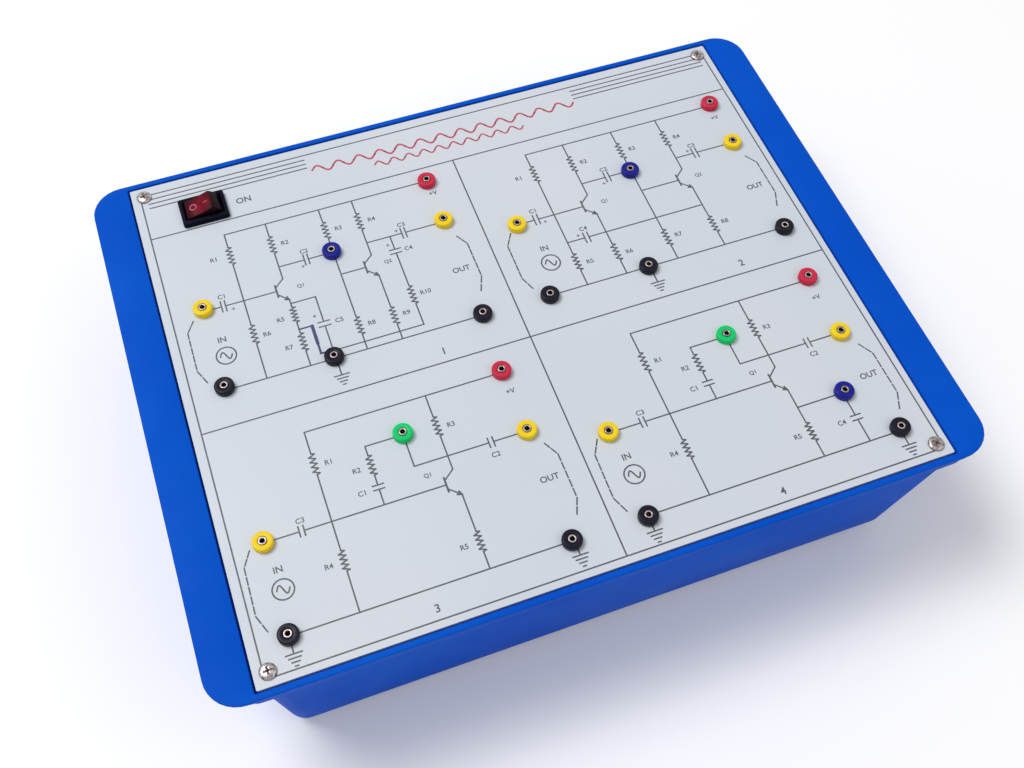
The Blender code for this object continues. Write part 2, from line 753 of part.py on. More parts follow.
def make_grommet():
    """A rubber grommet with a neck in the rear wall and a flange on each side of it."""
    outer = clearance + grommet_flange
    edge = grommet_flange_radius - clearance
    taper = math.tan(rear_lean) * grommet_flange_radius
    inner_face = -grommet_wall - clearance - taper / 2
    inner = inner_face - grommet_flange
    bm = bmesh.new()
    turned(bm, [(grommet_bore_radius, inner), (grommet_bore_radius, outer), (edge, outer),
                (grommet_flange_radius, clearance), (grommet_neck_radius, clearance),
                (grommet_neck_radius, inner_face), (grommet_flange_radius, inner_face), (edge, inner)], 16)
    place("mains_grommet", bm, rubber, (grommet_x, grommet_wall_y, grommet_z), grommet_turn)


def make_transformer():
    """A small mains transformer: stacked core, coil on its bobbin, and the strap that holds it down."""
    z_core = z_boss + clearance
    half_stack = core_stack / 2
    window_low = core_yoke
    window_high = core_height - core_yoke
    half_limb = core_limb / 2
    half_inside = core_width / 2 - core_yoke
    bm = bmesh.new()
    box(bm, (-core_width / 2, -half_stack, 0), (core_width / 2, half_stack, core_height))
    core = place("transformer_core", bm, core_steel, (*transformer_at, z_core))
    bm = bmesh.new()
    reach = half_stack + cut_overrun
    for side in (-1, 1):
        near = min(side * half_limb, side * half_inside)
        far = max(side * half_limb, side * half_inside)
        box(bm, (near, -reach, window_low), (far, reach, window_high))
    cut(core, place("core_windows", bm, None, core.location))

    flange_x = half_inside - clearance
    flange_y = half_stack + bobbin_overhang
    winding_x = flange_x - winding_setback
    winding_y = flange_y - winding_setback
    hole_x = half_limb + clearance
    hole_y = half_stack + clearance
    low = window_low + clearance
    high = window_high - clearance
    round_outside = winding_setback
    round_inside = clearance
    bm = bmesh.new()
    loft(bm, [
        rounded_rectangle(hole_x, hole_y, round_inside, low, 2),
        rounded_rectangle(flange_x, flange_y, round_outside, low, 2),
        rounded_rectangle(flange_x, flange_y, round_outside, low + bobbin_flange, 2),
        rounded_rectangle(winding_x, winding_y, round_outside, low + bobbin_flange, 2),
        rounded_rectangle(winding_x, winding_y, round_outside, high - bobbin_flange, 2),
        rounded_rectangle(flange_x, flange_y, round_outside, high - bobbin_flange, 2),
        rounded_rectangle(flange_x, flange_y, round_outside, high, 2),
        rounded_rectangle(hole_x, hole_y, round_inside, high, 2),
    ], ring=True)
    place("transformer_coil", bm, winding_tape, (*transformer_at, z_core))

    inside = core_width / 2 + clearance
    outside = inside + strap_thickness
    top_inside = core_height + clearance
    top_outside = top_inside + strap_thickness
    tab_end = outside + strap_tab_length
    right = [(inside, 0), (tab_end, 0), (tab_end, strap_thickness), (outside, strap_thickness),
             (outside, top_outside)]
    outline = right + [(-x, z) for x, z in reversed(right)] + [(-inside, top_inside), (inside, top_inside)]
    bm = bmesh.new()
    extruded_sideways(bm, outline, -half_stack, half_stack)
    strap = place("transformer_strap", bm, strap_steel, (*transformer_at, z_core))
    bm = bmesh.new()
    high = strap_thickness + cut_overrun
    for side in (-1, 1):
        cylinder(bm, strap_hole_radius, -cut_overrun, high, (side * strap_hole_x, 0), 12)
    cut(strap, place("strap_holes", bm, None, strap.location))
    for number, at in enumerate(transformer_screw_places, 1):
        small_screw(f"transformer_screw_{number}", (*at, z_core + strap_thickness))


def small_screw(name, seat):
    """A small pan-head screw whose head rests on a seat."""
    half_head = small_screw_head_height / 2
    tip = clearance - small_screw_length
    head_top = clearance + small_screw_head_height
    bm = bmesh.new()
    turned(bm, [(0, tip), (small_screw_shank_radius, tip), (small_screw_shank_radius, clearance),
                (small_screw_head_radius, clearance), (small_screw_head_radius, clearance + half_head),
                (small_screw_head_radius - half_head, head_top), (0, head_top)], 10)
    place(name, bm, nickel, seat)


z_board = z_pillar + clearance
z_board_top = z_board + board_thickness


def make_board(name, centre, width, depth, holes):
    """A printed circuit board with its screw holes."""
    bm = bmesh.new()
    loft(bm, [rounded_rectangle(width / 2, depth / 2, board_corner_radius, 0, 2),
              rounded_rectangle(width / 2, depth / 2, board_corner_radius, board_thickness, 2)])
    board = place(name, bm, board_laminate, (*centre, z_board))
    bm = bmesh.new()
    for at in holes:
        cylinder(bm, board_hole_radius, z_board - cut_overrun, z_board_top + cut_overrun, at, 10)
    cut(board, place(name + "_holes", bm, None))
    return board


def on_board(centre, width, depth, x_share, y_share):
    """A place on a board, as shares of its half-width and half-depth."""
    return centre[0] + width / 2 * x_share, centre[1] + depth / 2 * y_share


def on_amplifier_board(x_share, y_share):
    return on_board(amplifier_at, amplifier_board_width, amplifier_board_depth, x_share, y_share)


def make_amplifier_board():
    """The board with the four circuits' parts standing on it."""
    board = make_board("amplifier_board", amplifier_at, amplifier_board_width, amplifier_board_depth,
                       amplifier_corners)
    low = z_board_top - embed
    leg_top = z_board_top + transistor_stand
    legs = bmesh.new()
    parts = bmesh.new()
    for column_share, row_share in transistor_shares:
        x, y = on_amplifier_board(column_share, row_share)
        box(legs, (x - transistor_leg_width / 2, y - transistor_leg_thickness / 2, low),
            (x + transistor_leg_width / 2, y + transistor_leg_thickness / 2, leg_top + embed))
        cylinder(parts, transistor_radius, leg_top, leg_top + transistor_height, (x, y), 8)
    for column_share, row_share in capacitor_shares:
        at = on_amplifier_board(column_share, row_share)
        cylinder(parts, coupling_capacitor_radius, low, z_board_top + coupling_capacitor_height, at, 8)
    for column_share, row_share in resistor_shares:
        x, y = on_amplifier_board(column_share, row_share)
        box(parts, (x - resistor_length / 2, y - resistor_radius, low),
            (x + resistor_length / 2, y + resistor_radius, z_board_top + 2 * resistor_radius))
    join(board, place("transistor_legs", legs, None))
    join(board, place("amplifier_parts", parts, None))
    for number, at in enumerate(amplifier_corners, 1):
        small_screw(f"amplifier_board_screw_{number}", (*at, z_board_top))


def make_supply_board():
    """The board with the rectifier, reservoir, regulator, heat sink and fuse, each a piece of its own."""
    board = make_board("supply_board", supply_at, supply_board_width, supply_board_depth, supply_corners)
    for number, at in enumerate(supply_screw_places, 1):
        small_screw(f"supply_board_screw_{number}", (*at, z_board_top))
    seat = z_board_top + clearance

    at = on_board(supply_at, supply_board_width, supply_board_depth, reservoir_x_share, reservoir_y_share)
    neck = reservoir_radius - reservoir_crimp_setback
    crimp_low = reservoir_crimp_height - reservoir_crimp_width
    crimp_high = reservoir_crimp_height + reservoir_crimp_width
    shoulder = reservoir_height - reservoir_crimp_setback
    bm = bmesh.new()
    turned(bm, [(0, 0), (reservoir_radius, 0), (reservoir_radius, crimp_low), (neck, reservoir_crimp_height),
                (reservoir_radius, crimp_high), (reservoir_radius, shoulder), (neck, reservoir_height),
                (0, reservoir_height)], 20)
    place("reservoir_capacitor", bm, can_sleeve, (*at, seat))

    at = on_board(supply_at, supply_board_width, supply_board_depth, rectifier_x_share, rectifier_y_share)
    bm = bmesh.new()
    cylinder(bm, rectifier_radius, 0, rectifier_height, (0, 0), 20)
    place("bridge_rectifier", bm, moulded_black, (*at, seat))

    make_heat_sink(seat)
    make_fuse(board, seat)


def make_heat_sink(seat):
    """A comb-shaped heat sink and the voltage regulator that stands against its web."""
    at = on_board(supply_at, supply_board_width, supply_board_depth, sink_x_share, sink_y_share)
    pitch = (sink_width - sink_fin) / (sink_fin_count - 1)
    outline = [(-sink_width / 2, 0), (sink_width / 2, 0)]
    for number in range(sink_fin_count - 1, -1, -1):
        left = -sink_width / 2 + number * pitch
        outline += [(left + sink_fin, -sink_depth), (left, -sink_depth)]
        if number:
            outline += [(left, -sink_web), (left - pitch + sink_fin, -sink_web)]
    bm = bmesh.new()
    extruded(bm, [(x, y, 0) for x, y in outline], (0, 0, sink_height))
    place("heat_sink", bm, sink_aluminium, (*at, seat))

    body_top = regulator_stand + regulator_body_height
    tab_top = regulator_stand + regulator_tab_height
    outline = [(0, regulator_stand), (regulator_thickness, regulator_stand), (regulator_thickness, body_top),
               (regulator_tab_thickness, body_top), (regulator_tab_thickness, tab_top), (0, tab_top)]
    bm = bmesh.new()
    extruded(bm, [(-regulator_width / 2, y, z) for y, z in outline], (regulator_width, 0, 0))
    regulator = place("voltage_regulator", bm, moulded_black, (at[0], at[1] + clearance, seat))
    bm = bmesh.new()
    middle = regulator_thickness / 2
    box(bm, (-regulator_leg_width / 2, middle - regulator_leg_thickness / 2, 0),
        (regulator_leg_width / 2, middle + regulator_leg_thickness / 2, regulator_stand + embed))
    join(regulator, place("regulator_legs", bm, None, regulator.location))


def make_fuse(board, seat):
    """A glass fuse lying in two clips that stand on the supply board."""
    at = on_board(supply_at, supply_board_width, supply_board_depth, fuse_x_share, fuse_y_share)
    z_axis = seat + fuse_clip_base + fuse_clip_radius
    half = fuse_length / 2
    glass = fuse_radius - fuse_glass_setback
    bm = bmesh.new()
    cap = half - fuse_cap_length
    turned(bm, [(0, -half), (fuse_radius, -half), (fuse_radius, -cap), (glass, -cap),
                (glass, cap), (fuse_radius, cap), (fuse_radius, half), (0, half)], 16)
    place("supply_fuse", bm, fuse_glass, (*at, z_axis), (math.pi / 2, 0, 0))

    inner = fuse_radius + clearance
    start = math.pi / 2 + fuse_clip_half_mouth
    sweep = math.tau - 2 * fuse_clip_half_mouth
    angles = [start + sweep * step / fuse_clip_steps for step in range(fuse_clip_steps + 1)]
    outline = [(fuse_clip_radius * math.cos(angle), fuse_clip_radius * math.sin(angle)) for angle in angles]
    outline += [(inner * math.cos(angle), inner * math.sin(angle)) for angle in reversed(angles)]
    foot_low = z_board_top - embed - z_axis
    foot_high = -(inner + fuse_clip_radius) / 2
    clips = bmesh.new()
    feet = bmesh.new()
    for side in (-1, 1):
        middle = side * (half - fuse_cap_length / 2)
        low = middle - fuse_clip_width / 2
        high = middle + fuse_clip_width / 2
        extruded_sideways(clips, outline, low, high)
        box(feet, (-fuse_radius / 2, low, foot_low), (fuse_radius / 2, high, foot_high))
    join(board, place("fuse_clips", clips, None, (*at, z_axis)))
    join(board, place("fuse_clip_feet", feet, None, (*at, z_axis)))


make_cabinet()
make_panel()
make_sockets()
make_panel_screws()
make_switch_housing()
make_rocker()
make_feet()
make_grommet()
make_transformer()
make_amplifier_board()
make_supply_board()
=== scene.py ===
# %% [markdown]
# A bench trainer for feedback amplifiers: a blue moulded cabinet, a white printed panel with
# twenty-seven plug sockets, and a rocker switch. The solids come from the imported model, which gives
# every place and size. This lesson dresses them: some nodes keep their shape and get a finish, and
# others are stood for by a finer mesh in the same place.

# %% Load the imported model
import json
import math

import bmesh
import bpy
from mathutils import Matrix, Vector


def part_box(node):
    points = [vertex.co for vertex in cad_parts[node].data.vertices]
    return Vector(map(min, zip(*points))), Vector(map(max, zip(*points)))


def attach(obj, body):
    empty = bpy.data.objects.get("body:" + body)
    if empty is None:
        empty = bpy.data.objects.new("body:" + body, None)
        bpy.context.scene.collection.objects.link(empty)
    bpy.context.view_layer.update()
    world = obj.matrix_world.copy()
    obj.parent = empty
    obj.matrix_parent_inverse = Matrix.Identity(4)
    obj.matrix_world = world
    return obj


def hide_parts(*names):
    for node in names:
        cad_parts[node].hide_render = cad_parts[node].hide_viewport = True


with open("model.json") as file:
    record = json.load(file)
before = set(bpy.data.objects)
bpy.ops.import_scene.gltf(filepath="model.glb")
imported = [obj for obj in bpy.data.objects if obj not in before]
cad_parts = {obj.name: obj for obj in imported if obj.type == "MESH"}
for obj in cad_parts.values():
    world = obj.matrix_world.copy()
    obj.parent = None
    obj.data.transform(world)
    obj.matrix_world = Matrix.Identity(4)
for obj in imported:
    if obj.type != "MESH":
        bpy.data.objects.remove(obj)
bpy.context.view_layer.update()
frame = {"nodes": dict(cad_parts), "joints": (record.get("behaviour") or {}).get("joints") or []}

# %% [markdown]
# Every place is read from the frame, so that a piece stays on what carries it when the model
# changes. The panel's top face is the height that the print, the sockets and the screws start from.

# %% Measure the frame
mm = 0.001
fit = 0.3 * mm  # between pieces that fit together
wall, front_draft = 2.5 * mm, 9.5 * mm  # the cabinet's wall, and how far it leans in at the front and the rear
proud = 0.02 * mm  # how far above the panel a head's seat is, so that no two faces share a plane


def in_mm(lengths):
    """Lengths in millimetres, for the printed lines."""
    return [round(length / mm, 1) for length in lengths]


def middle(node):
    """The centre of a node's box."""
    low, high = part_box(node)
    return (Vector(low) + Vector(high)) / 2


def on_panel(node):
    """The place on the panel's top face over a node's centre."""
    return (*middle(node).xy, panel_top)


def nodes_named(start):
    """The nodes whose names start with a word, in their order."""
    return sorted(name for name in frame["nodes"] if name.startswith(start))


panel_low, panel_high = (Vector(corner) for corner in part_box("front_panel"))
tub_low, tub_high = (Vector(corner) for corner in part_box("cabinet_tub"))
panel_top = panel_high.z
socket_nodes, screw_nodes = nodes_named("socket_"), nodes_named("panel_screw_")
foot_nodes = nodes_named("rubber_foot_")
print("panel top at", round(panel_top / mm, 2), "mm,", len(socket_nodes), "sockets,", len(screw_nodes), "screws")

# %% [markdown]
# Plastic, metal and rubber differ less in their colour than in how the surface breaks up the light.
# Three small effects cover nearly all of it, so each is a node group, built once and placed in every
# material with its own numbers: a soft drift between two colours, a fine grain that becomes a bump,
# and the faint smears that hands leave in the gloss.

# %% Build the shared effects
def arrange(target, **settings):
    """Gives a thing its settings, and hands it back."""
    for name, value in settings.items():
        setattr(target, name, value)
    return target


def feed(tree, node, inputs):
    """Sets each input of a node to a value, or joins it to another node's output."""
    for label, value in inputs.items():
        if isinstance(value, bpy.types.NodeSocket):
            tree.links.new(value, node.inputs[label])
        else:
            node.inputs[label].default_value = value


def add(tree, kind, inputs, **settings):
    """A new shader node with its settings and its inputs."""
    node = arrange(tree.nodes.new("ShaderNode" + kind), **settings)
    feed(tree, node, inputs)
    return node


def new_group(name, inputs, output, kind="NodeSocketFloat"):
    """An empty node group with its named sockets, and the ends of its input and output nodes."""
    group = bpy.data.node_groups.new(name, "ShaderNodeTree")
    for label, value in inputs.items():
        entry = "NodeSocketColor" if isinstance(value, tuple) else "NodeSocketFloat"
        group.interface.new_socket(label, in_out="INPUT", socket_type=entry).default_value = value
    group.interface.new_socket(output, in_out="OUTPUT", socket_type=kind)
    return group, group.nodes.new("NodeGroupInput").outputs, group.nodes.new("NodeGroupOutput").inputs[output]


def object_place(tree):
    """The socket that gives a point's place on the object, in metres."""
    return tree.nodes.new("ShaderNodeTexCoord").outputs["Object"]


def noise_on(tree, place, scale, detail):
    """The value of a noise texture at a place."""
    return add(tree, "TexNoise", {"Vector": place, "Scale": scale, "Detail": detail}).outputs["Fac"]


def soft_drift_group():
    """A colour that drifts slowly towards a second one in soft patches."""
    grey = (0.5, 0.5, 0.5, 1.0)
    group, given, colour = new_group(
        "soft_drift", {"Colour": grey, "Second Colour": grey, "Scale": 30.0, "Amount": 0.3}, "Colour",
        "NodeSocketColor")
    noise = noise_on(group, object_place(group), given["Scale"], 4.0)
    spread = add(group, "MapRange", {"Value": noise, "From Min": 0.35, "From Max": 0.68})
    amount = add(group, "Math", {0: spread.outputs["Result"], 1: given["Amount"]}, operation="MULTIPLY")
    mix = add(group, "Mix", {"Factor": amount.outputs[0], "A": given["Colour"], "B": given["Second Colour"]},
              data_type="RGBA")
    group.links.new(mix.outputs["Result"], colour)
    return group


def fine_grain_group():
    """Small pits and peaks, as a spark-eroded mould leaves on plastic: the height for a bump."""
    group, given, height = new_group(
        "fine_grain", {"Scale": 900.0, "Coarse Scale": 60.0, "Coarse Share": 0.4}, "Height")
    fine = noise_on(group, object_place(group), given["Scale"], 2.0)
    coarse = noise_on(group, object_place(group), given["Coarse Scale"], 3.0)
    mix = add(group, "Mix", {"Factor": given["Coarse Share"], "A": fine, "B": coarse})
    group.links.new(mix.outputs["Result"], height)
    return group


def hand_smears_group():
    """Roughness between two values in stretched patches, as fingers and a cloth leave it."""
    group, given, roughness = new_group(
        "hand_smears", {"Scale": 25.0, "Glossiest": 0.3, "Dullest": 0.5}, "Roughness")
    stretch = add(group, "Mapping", {"Vector": object_place(group), "Rotation": (0, 0, math.radians(35)),
                                     "Scale": (1.0, 3.0, 1.0)})
    noise = noise_on(group, stretch.outputs["Vector"], given["Scale"], 5.0)
    spread = add(group, "MapRange", {"Value": noise, "From Min": 0.3, "From Max": 0.7,
                                     "To Min": given["Glossiest"], "To Max": given["Dullest"]})
    group.links.new(spread.outputs["Result"], roughness)
    return group


soft_drift = soft_drift_group()
fine_grain = fine_grain_group()
hand_smears = hand_smears_group()
print("effects:", soft_drift.name, fine_grain.name, hand_smears.name)

# %% [markdown]
# One function lays the three effects on a Principled shader. What is the same all over a surface,
# such as its metallic value or its coat, is set on the shader's own socket.

# %% Write the finish function
def srgb(red, green, blue):
    """A colour given on the usual 0 to 255 scale, as the linear values that Blender wants."""
    return tuple(((part / 255 + 0.055) / 1.055) ** 2.4 if part > 10 else part / 255 / 12.92
                 for part in (red, green, blue)) + (1.0,)


def finish(name, colour, second, amount, gloss, patch=30.0, grain=900.0, coarse=60.0, depth=0.02, bump=0.3,
           metallic=0.0, specular=0.5, **sockets):
    """A material from the three effects: two colours, the two ends of its roughness, and its grain."""
    made = bpy.data.materials.new(name)
    made.use_nodes = True
    tree = made.node_tree
    drift = add(tree, "Group", {"Colour": srgb(*colour), "Second Colour": srgb(*second), "Scale": patch,
                                "Amount": amount}, node_tree=soft_drift)
    smears = add(tree, "Group", {"Scale": patch, "Glossiest": gloss[0], "Dullest": gloss[1]}, node_tree=hand_smears)
    height = add(tree, "Group", {"Scale": grain, "Coarse Scale": coarse, "Coarse Share": 0.4}, node_tree=fine_grain)
    relief = add(tree, "Bump", {"Strength": bump, "Distance": depth * mm, "Height": height.outputs["Height"]})
    feed(tree, tree.nodes["Principled BSDF"], {
        "Base Color": drift.outputs["Colour"], "Roughness": smears.outputs["Roughness"],
        "Normal": relief.outputs["Normal"], "Metallic": metallic, "Specular IOR Level": specular,
        **{label.replace("_", " "): value for label, value in sockets.items()}})
    return made


# %% Mix the finishes that show
finish("cabinet_plastic", (0, 78, 196), (2, 90, 204), 0.7, (0.50, 0.66), patch=16.0, grain=1500.0, coarse=90.0,
       depth=0.06, bump=0.5, specular=0.05)
finish("panel_laminate", (203, 211, 220), (212, 215, 223), 0.8, (0.34, 0.48), patch=9.0, grain=1200.0, coarse=40.0,
       bump=0.25, specular=0.3)
for name, first, second in (("print_ink", (70, 73, 84), (88, 90, 100)), ("red_ink", (176, 66, 92), (188, 88, 108)),
                            ("blue_ink", (44, 42, 92), (56, 54, 106))):
    finish(name, first, second, 0.8, (0.40, 0.55), patch=220.0, depth=0.01)
finish("nickel_plate", (168, 158, 156), (130, 118, 115), 0.8, (0.18, 0.34), patch=260.0, grain=2500.0, coarse=400.0,
       depth=0.01, metallic=1.0)
finish("worn_nickel", (186, 179, 180), (108, 97, 96), 1.0, (0.14, 0.34), patch=760.0, grain=2500.0, coarse=700.0,
       depth=0.10, bump=0.8, metallic=1.0)
# Painted shade: a dark brown laid in the bottom of the screws' recesses, where shade falls.
finish("recess_painted_shade", (92, 82, 78), (122, 110, 104), 0.8, (0.60, 0.80), patch=700.0)
finish("switch_nylon", (6, 9, 26), (11, 14, 34), 0.6, (0.34, 0.48), patch=120.0, grain=2400.0, coarse=200.0,
       specular=0.05)
# The rocker's red gets painted shade further down: darker away from its middle and on its skirt.
finish("rocker_plastic_painted_shade", (98, 5, 24), (134, 11, 38), 0.9, (0.28, 0.42), patch=300.0, grain=2400.0, coarse=200.0,
       depth=0.01, specular=0.07)
finish("rocker_mark", (178, 93, 113), (161, 76, 97), 0.7, (0.35, 0.50), patch=300.0, specular=0.2)
finish("foot_rubber", (40, 40, 42), (58, 57, 56), 0.7, (0.70, 0.90), patch=90.0, grain=1800.0, coarse=200.0,
       depth=0.06, bump=0.5)
for shade, first, second in (("yellow", (246, 214, 34), (236, 196, 30)), ("black", (13, 12, 30), (21, 19, 40)),
                             ("red", (206, 44, 74), (188, 36, 60)), ("blue", (18, 24, 132), (26, 34, 148)),
                             ("green", (10, 206, 112), (16, 192, 100))):
    finish(f"socket_nylon_{shade}", first, second, 0.6, (0.24, 0.40), patch=180.0, grain=2200.0, coarse=240.0,
           specular=0.15)
print("finishes:", len(bpy.data.materials))

# %% [markdown]
# Most new pieces are turned or skinned from rings. A full spin makes the round ones from half of
# their section, and the cabinet is a stack of rounded plates: each starts as a one-face grid, a
# bevel of its four corners rounds it, and bridging joins one outline to the next.

# %% Write the modelling helpers
def in_scene(name, data):
    """A new object in the scene."""
    made = bpy.data.objects.new(name, data)
    bpy.context.scene.collection.objects.link(made)
    return made


def move(bm, place, turn=None):
    """Turns everything in a bmesh about the origin, then sets it down at its place."""
    if turn is not None:
        bmesh.ops.rotate(bm, cent=(0, 0, 0), matrix=turn, verts=bm.verts)
    bmesh.ops.translate(bm, vec=place, verts=bm.verts)


def piece(name, bm, material, stands_for=(), place=(0, 0, 0), turn=None, body="cabinet", sharp=32):
    """Sets a bmesh down at its place and turns it into a piece of the scene that rides on a body."""
    move(bm, place, turn)
    bmesh.ops.remove_doubles(bm, verts=bm.verts, dist=0.001 * mm)
    bmesh.ops.recalc_face_normals(bm, faces=bm.faces)
    mesh = bpy.data.meshes.new(name)
    bm.to_mesh(mesh)
    bm.free()
    mesh.materials.append(bpy.data.materials[material])
    mesh.shade_smooth()
    mesh.set_sharp_from_angle(angle=math.radians(sharp))
    made = in_scene(name, mesh)
    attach(made, body)
    if stands_for:
        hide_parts(*stands_for)
    return made


def plate_ring(bm, half_x, half_y, radius, height, steps=8):
    """The edges of a level plate with rounded corners, its face taken away."""
    corners = bmesh.ops.create_grid(bm, x_segments=1, y_segments=1, size=1)["verts"]
    bmesh.ops.scale(bm, vec=(half_x, half_y, 1), verts=corners)
    bmesh.ops.translate(bm, vec=(0, 0, height), verts=corners)
    rounded = bmesh.ops.bevel(bm, geom=corners, offset=radius, segments=steps, profile=0.5,
                              affect="VERTICES", material=-1)
    face = rounded["verts"][0].link_faces[0]
    edges = list(face.edges)
    bmesh.ops.delete(bm, geom=[face], context="FACES_ONLY")
    return edges


def skin(bm, rings):
    """Joins the rings in turn, and closes the first and the last."""
    for lower, upper in zip(rings, rings[1:]):
        bmesh.ops.bridge_loops(bm, edges=lower + upper)
    for end in (rings[0], rings[-1]):
        bmesh.ops.edgeloop_fill(bm, edges=end)


def round_edges(bm, edges, offset, steps=3):
    """Rounds edges with a bevel, and leaves out any that an earlier step took away."""
    kept = [edge for edge in edges if edge.is_valid]
    bmesh.ops.bevel(bm, geom=kept, offset=offset, segments=steps, profile=0.5, affect="EDGES", material=-1)


def turned(section, sides=48):
    """Turns a section of (radius, height) corners about Z. A section off the axis closes on itself."""
    bm = bmesh.new()
    points = [bm.verts.new((radius, 0, height)) for radius, height in section]
    edges = [bm.edges.new(pair) for pair in zip(points, points[1:])]
    if min(radius for radius, height in section) > 0:
        edges.append(bm.edges.new((points[-1], points[0])))
    bmesh.ops.spin(bm, geom=points + edges, cent=(0, 0, 0), axis=(0, 0, 1), angle=math.tau, steps=sides,
                   use_merge=True)
    bmesh.ops.remove_doubles(bm, verts=bm.verts, dist=0.0001 * mm)
    return bm


def round_ring(bm, radius, height, offset, steps=3):
    """Rounds the edges of a turned piece that run round the axis at one radius and height."""
    def on_ring(vert):
        return abs(vert.co.xy.length - radius) < 0.001 * mm and abs(vert.co.z - height) < 0.001 * mm

    round_edges(bm, [edge for edge in bm.edges if all(on_ring(vert) for vert in edge.verts)], offset, steps)


def box(bm, size, place):
    """A box about a place, and its corners."""
    corners = bmesh.ops.create_cube(bm, size=1)["verts"]
    bmesh.ops.scale(bm, vec=size, verts=corners)
    bmesh.ops.translate(bm, vec=place, verts=corners)
    return corners


def cut_away(made, bm, sharp=32):
    """Takes a closed shape out of a piece, with a Boolean modifier that is applied at once."""
    mesh = bpy.data.meshes.new("cutter")
    bmesh.ops.recalc_face_normals(bm, faces=bm.faces)
    bm.to_mesh(mesh)
    bm.free()
    cutter = in_scene("cutter", mesh)
    arrange(made.modifiers.new("cut", "BOOLEAN"), object=cutter, solver="EXACT", use_self=True)
    shaped = bpy.data.meshes.new_from_object(made.evaluated_get(bpy.context.evaluated_depsgraph_get()))
    made.modifiers.clear()
    made.data = shaped
    bpy.data.objects.remove(cutter)
    shaped.shade_smooth()
    shaped.set_sharp_from_angle(angle=math.radians(sharp))


# %% [markdown]
# The cabinet is one moulding: a tub whose front and rear walls lean in, a flat wing along each short
# side to lift it by, and a rebate that the panel drops into. The rings go from the inside of the
# floor, up the walls, over the rim and wings, and down the outside. Sharp rings get a bevel
# afterwards, because no moulded edge is truly sharp and the thin highlight there sells the plastic.

# %% Mould the cabinet
def leaning(height, lower_half, upper_half, low, high):
    """A half-depth or half-width at a height, on a wall that leans between two heights."""
    return lower_half + (upper_half - lower_half) * (height - low) / (high - low)


def mould_cabinet():
    wing_thickness, root = 2.5 * mm, 0.8 * mm
    rim, base = tub_high.z, tub_low.z
    ledge = panel_low.z - fit
    floor = base + wall
    rebate_x, rebate_y = panel_high.x + 0.9 * mm, panel_high.y + 0.9 * mm
    inner_top_x, inner_top_y = panel_high.x - 3 * mm, panel_high.y - 2 * mm
    outer_top_x = inner_top_x + wall
    outer_floor_x, outer_floor_y = outer_top_x - 3.5 * mm, tub_high.y - front_draft
    inner_floor_x, inner_floor_y = outer_floor_x - wall, outer_floor_y - wall
    post_height, post_taper = 16 * mm, 8 * mm
    post = ledge - post_height
    post_end = post - post_taper
    step, wing = ledge - wall, rim - wing_thickness

    def outer_y(height):
        return leaning(height, outer_floor_y, tub_high.y, base, rim)

    def inside(height, radius):
        half_x = leaning(height, inner_floor_x, inner_top_x, floor, ledge)
        half_y = leaning(height, inner_floor_y, inner_top_y, floor, ledge)
        return plate_ring(bm, half_x, half_y, radius, height)

    bm = bmesh.new()
    rings = [
        inside(floor, 6.5 * mm), inside(post_end, 6.5 * mm), inside(post, 20 * mm), inside(ledge, 20 * mm),
        plate_ring(bm, rebate_x, rebate_y, 0.6 * mm, ledge),
        plate_ring(bm, rebate_x, rebate_y, 0.6 * mm, rim),
        plate_ring(bm, tub_high.x, tub_high.y, 13.8 * mm, rim),
        plate_ring(bm, tub_high.x, outer_y(wing), 13.8 * mm, wing),
        plate_ring(bm, rebate_x + wall, outer_y(wing - root), 3 * mm, wing - root),
        plate_ring(bm, rebate_x + wall, outer_y(step), 3 * mm, step),
        plate_ring(bm, outer_top_x, outer_y(step - root), 9 * mm, step - root),
        plate_ring(bm, outer_floor_x, outer_floor_y, 9 * mm, base),
    ]
    skin(bm, rings)
    for ring, radius, steps in ((0, 3.0, 4), (-1, 5.0, 6), (6, 0.6, 4), (7, 0.5, 3), (5, 0.2, 2), (9, 0.5, 3)):
        round_edges(bm, rings[ring], radius * mm, steps)
    bmesh.ops.recalc_face_normals(bm, faces=bm.faces)
    return bm


tub = piece("moulded_cabinet", mould_cabinet(), "cabinet_plastic", ["cabinet_tub"], sharp=40)
print("cabinet:", len(tub.data.polygons), "faces, size in mm:", in_mm(tub.dimensions))

# %% [markdown]
# Inside, short pillars carry the two boards and the transformer's feet. Their places come from the
# screws of the frame, which stand in them. The cord's grommet needs a hole in the rear wall, square
# to the wall's lean, so the same turn serves the hole and the grommet.

# %% Add the pillars and the cord hole
def pillar_tops():
    """Where each pillar stands and how high: under each board screw, and under the transformer's strap."""
    tops = []
    for node in frame["nodes"]:
        carried, _, _ = node.rpartition("_screw_")
        if carried in ("amplifier_board", "supply_board", "transformer"):
            carried = "transformer_strap" if carried == "transformer" else carried
            tops.append((*middle(node).xy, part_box(carried)[0][2] - fit))
    (left, front, under), (right, back, _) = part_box("supply_board")
    margin = 4.5 * mm
    return tops + [(right - margin, front + margin, under - fit), (left + margin, back - margin, under - fit)]


def pillars():
    bm = bmesh.new()
    root, wide, narrow = 0.8 * mm, 4 * mm, 3.2 * mm
    low = tub_low.z + wall - root
    for x, y, top in pillar_tops():
        bmesh.ops.create_cone(bm, cap_ends=True, segments=24, radius1=wide, radius2=narrow, depth=top - low,
                              matrix=Matrix.Translation((x, y, (low + top) / 2)))
    return bm


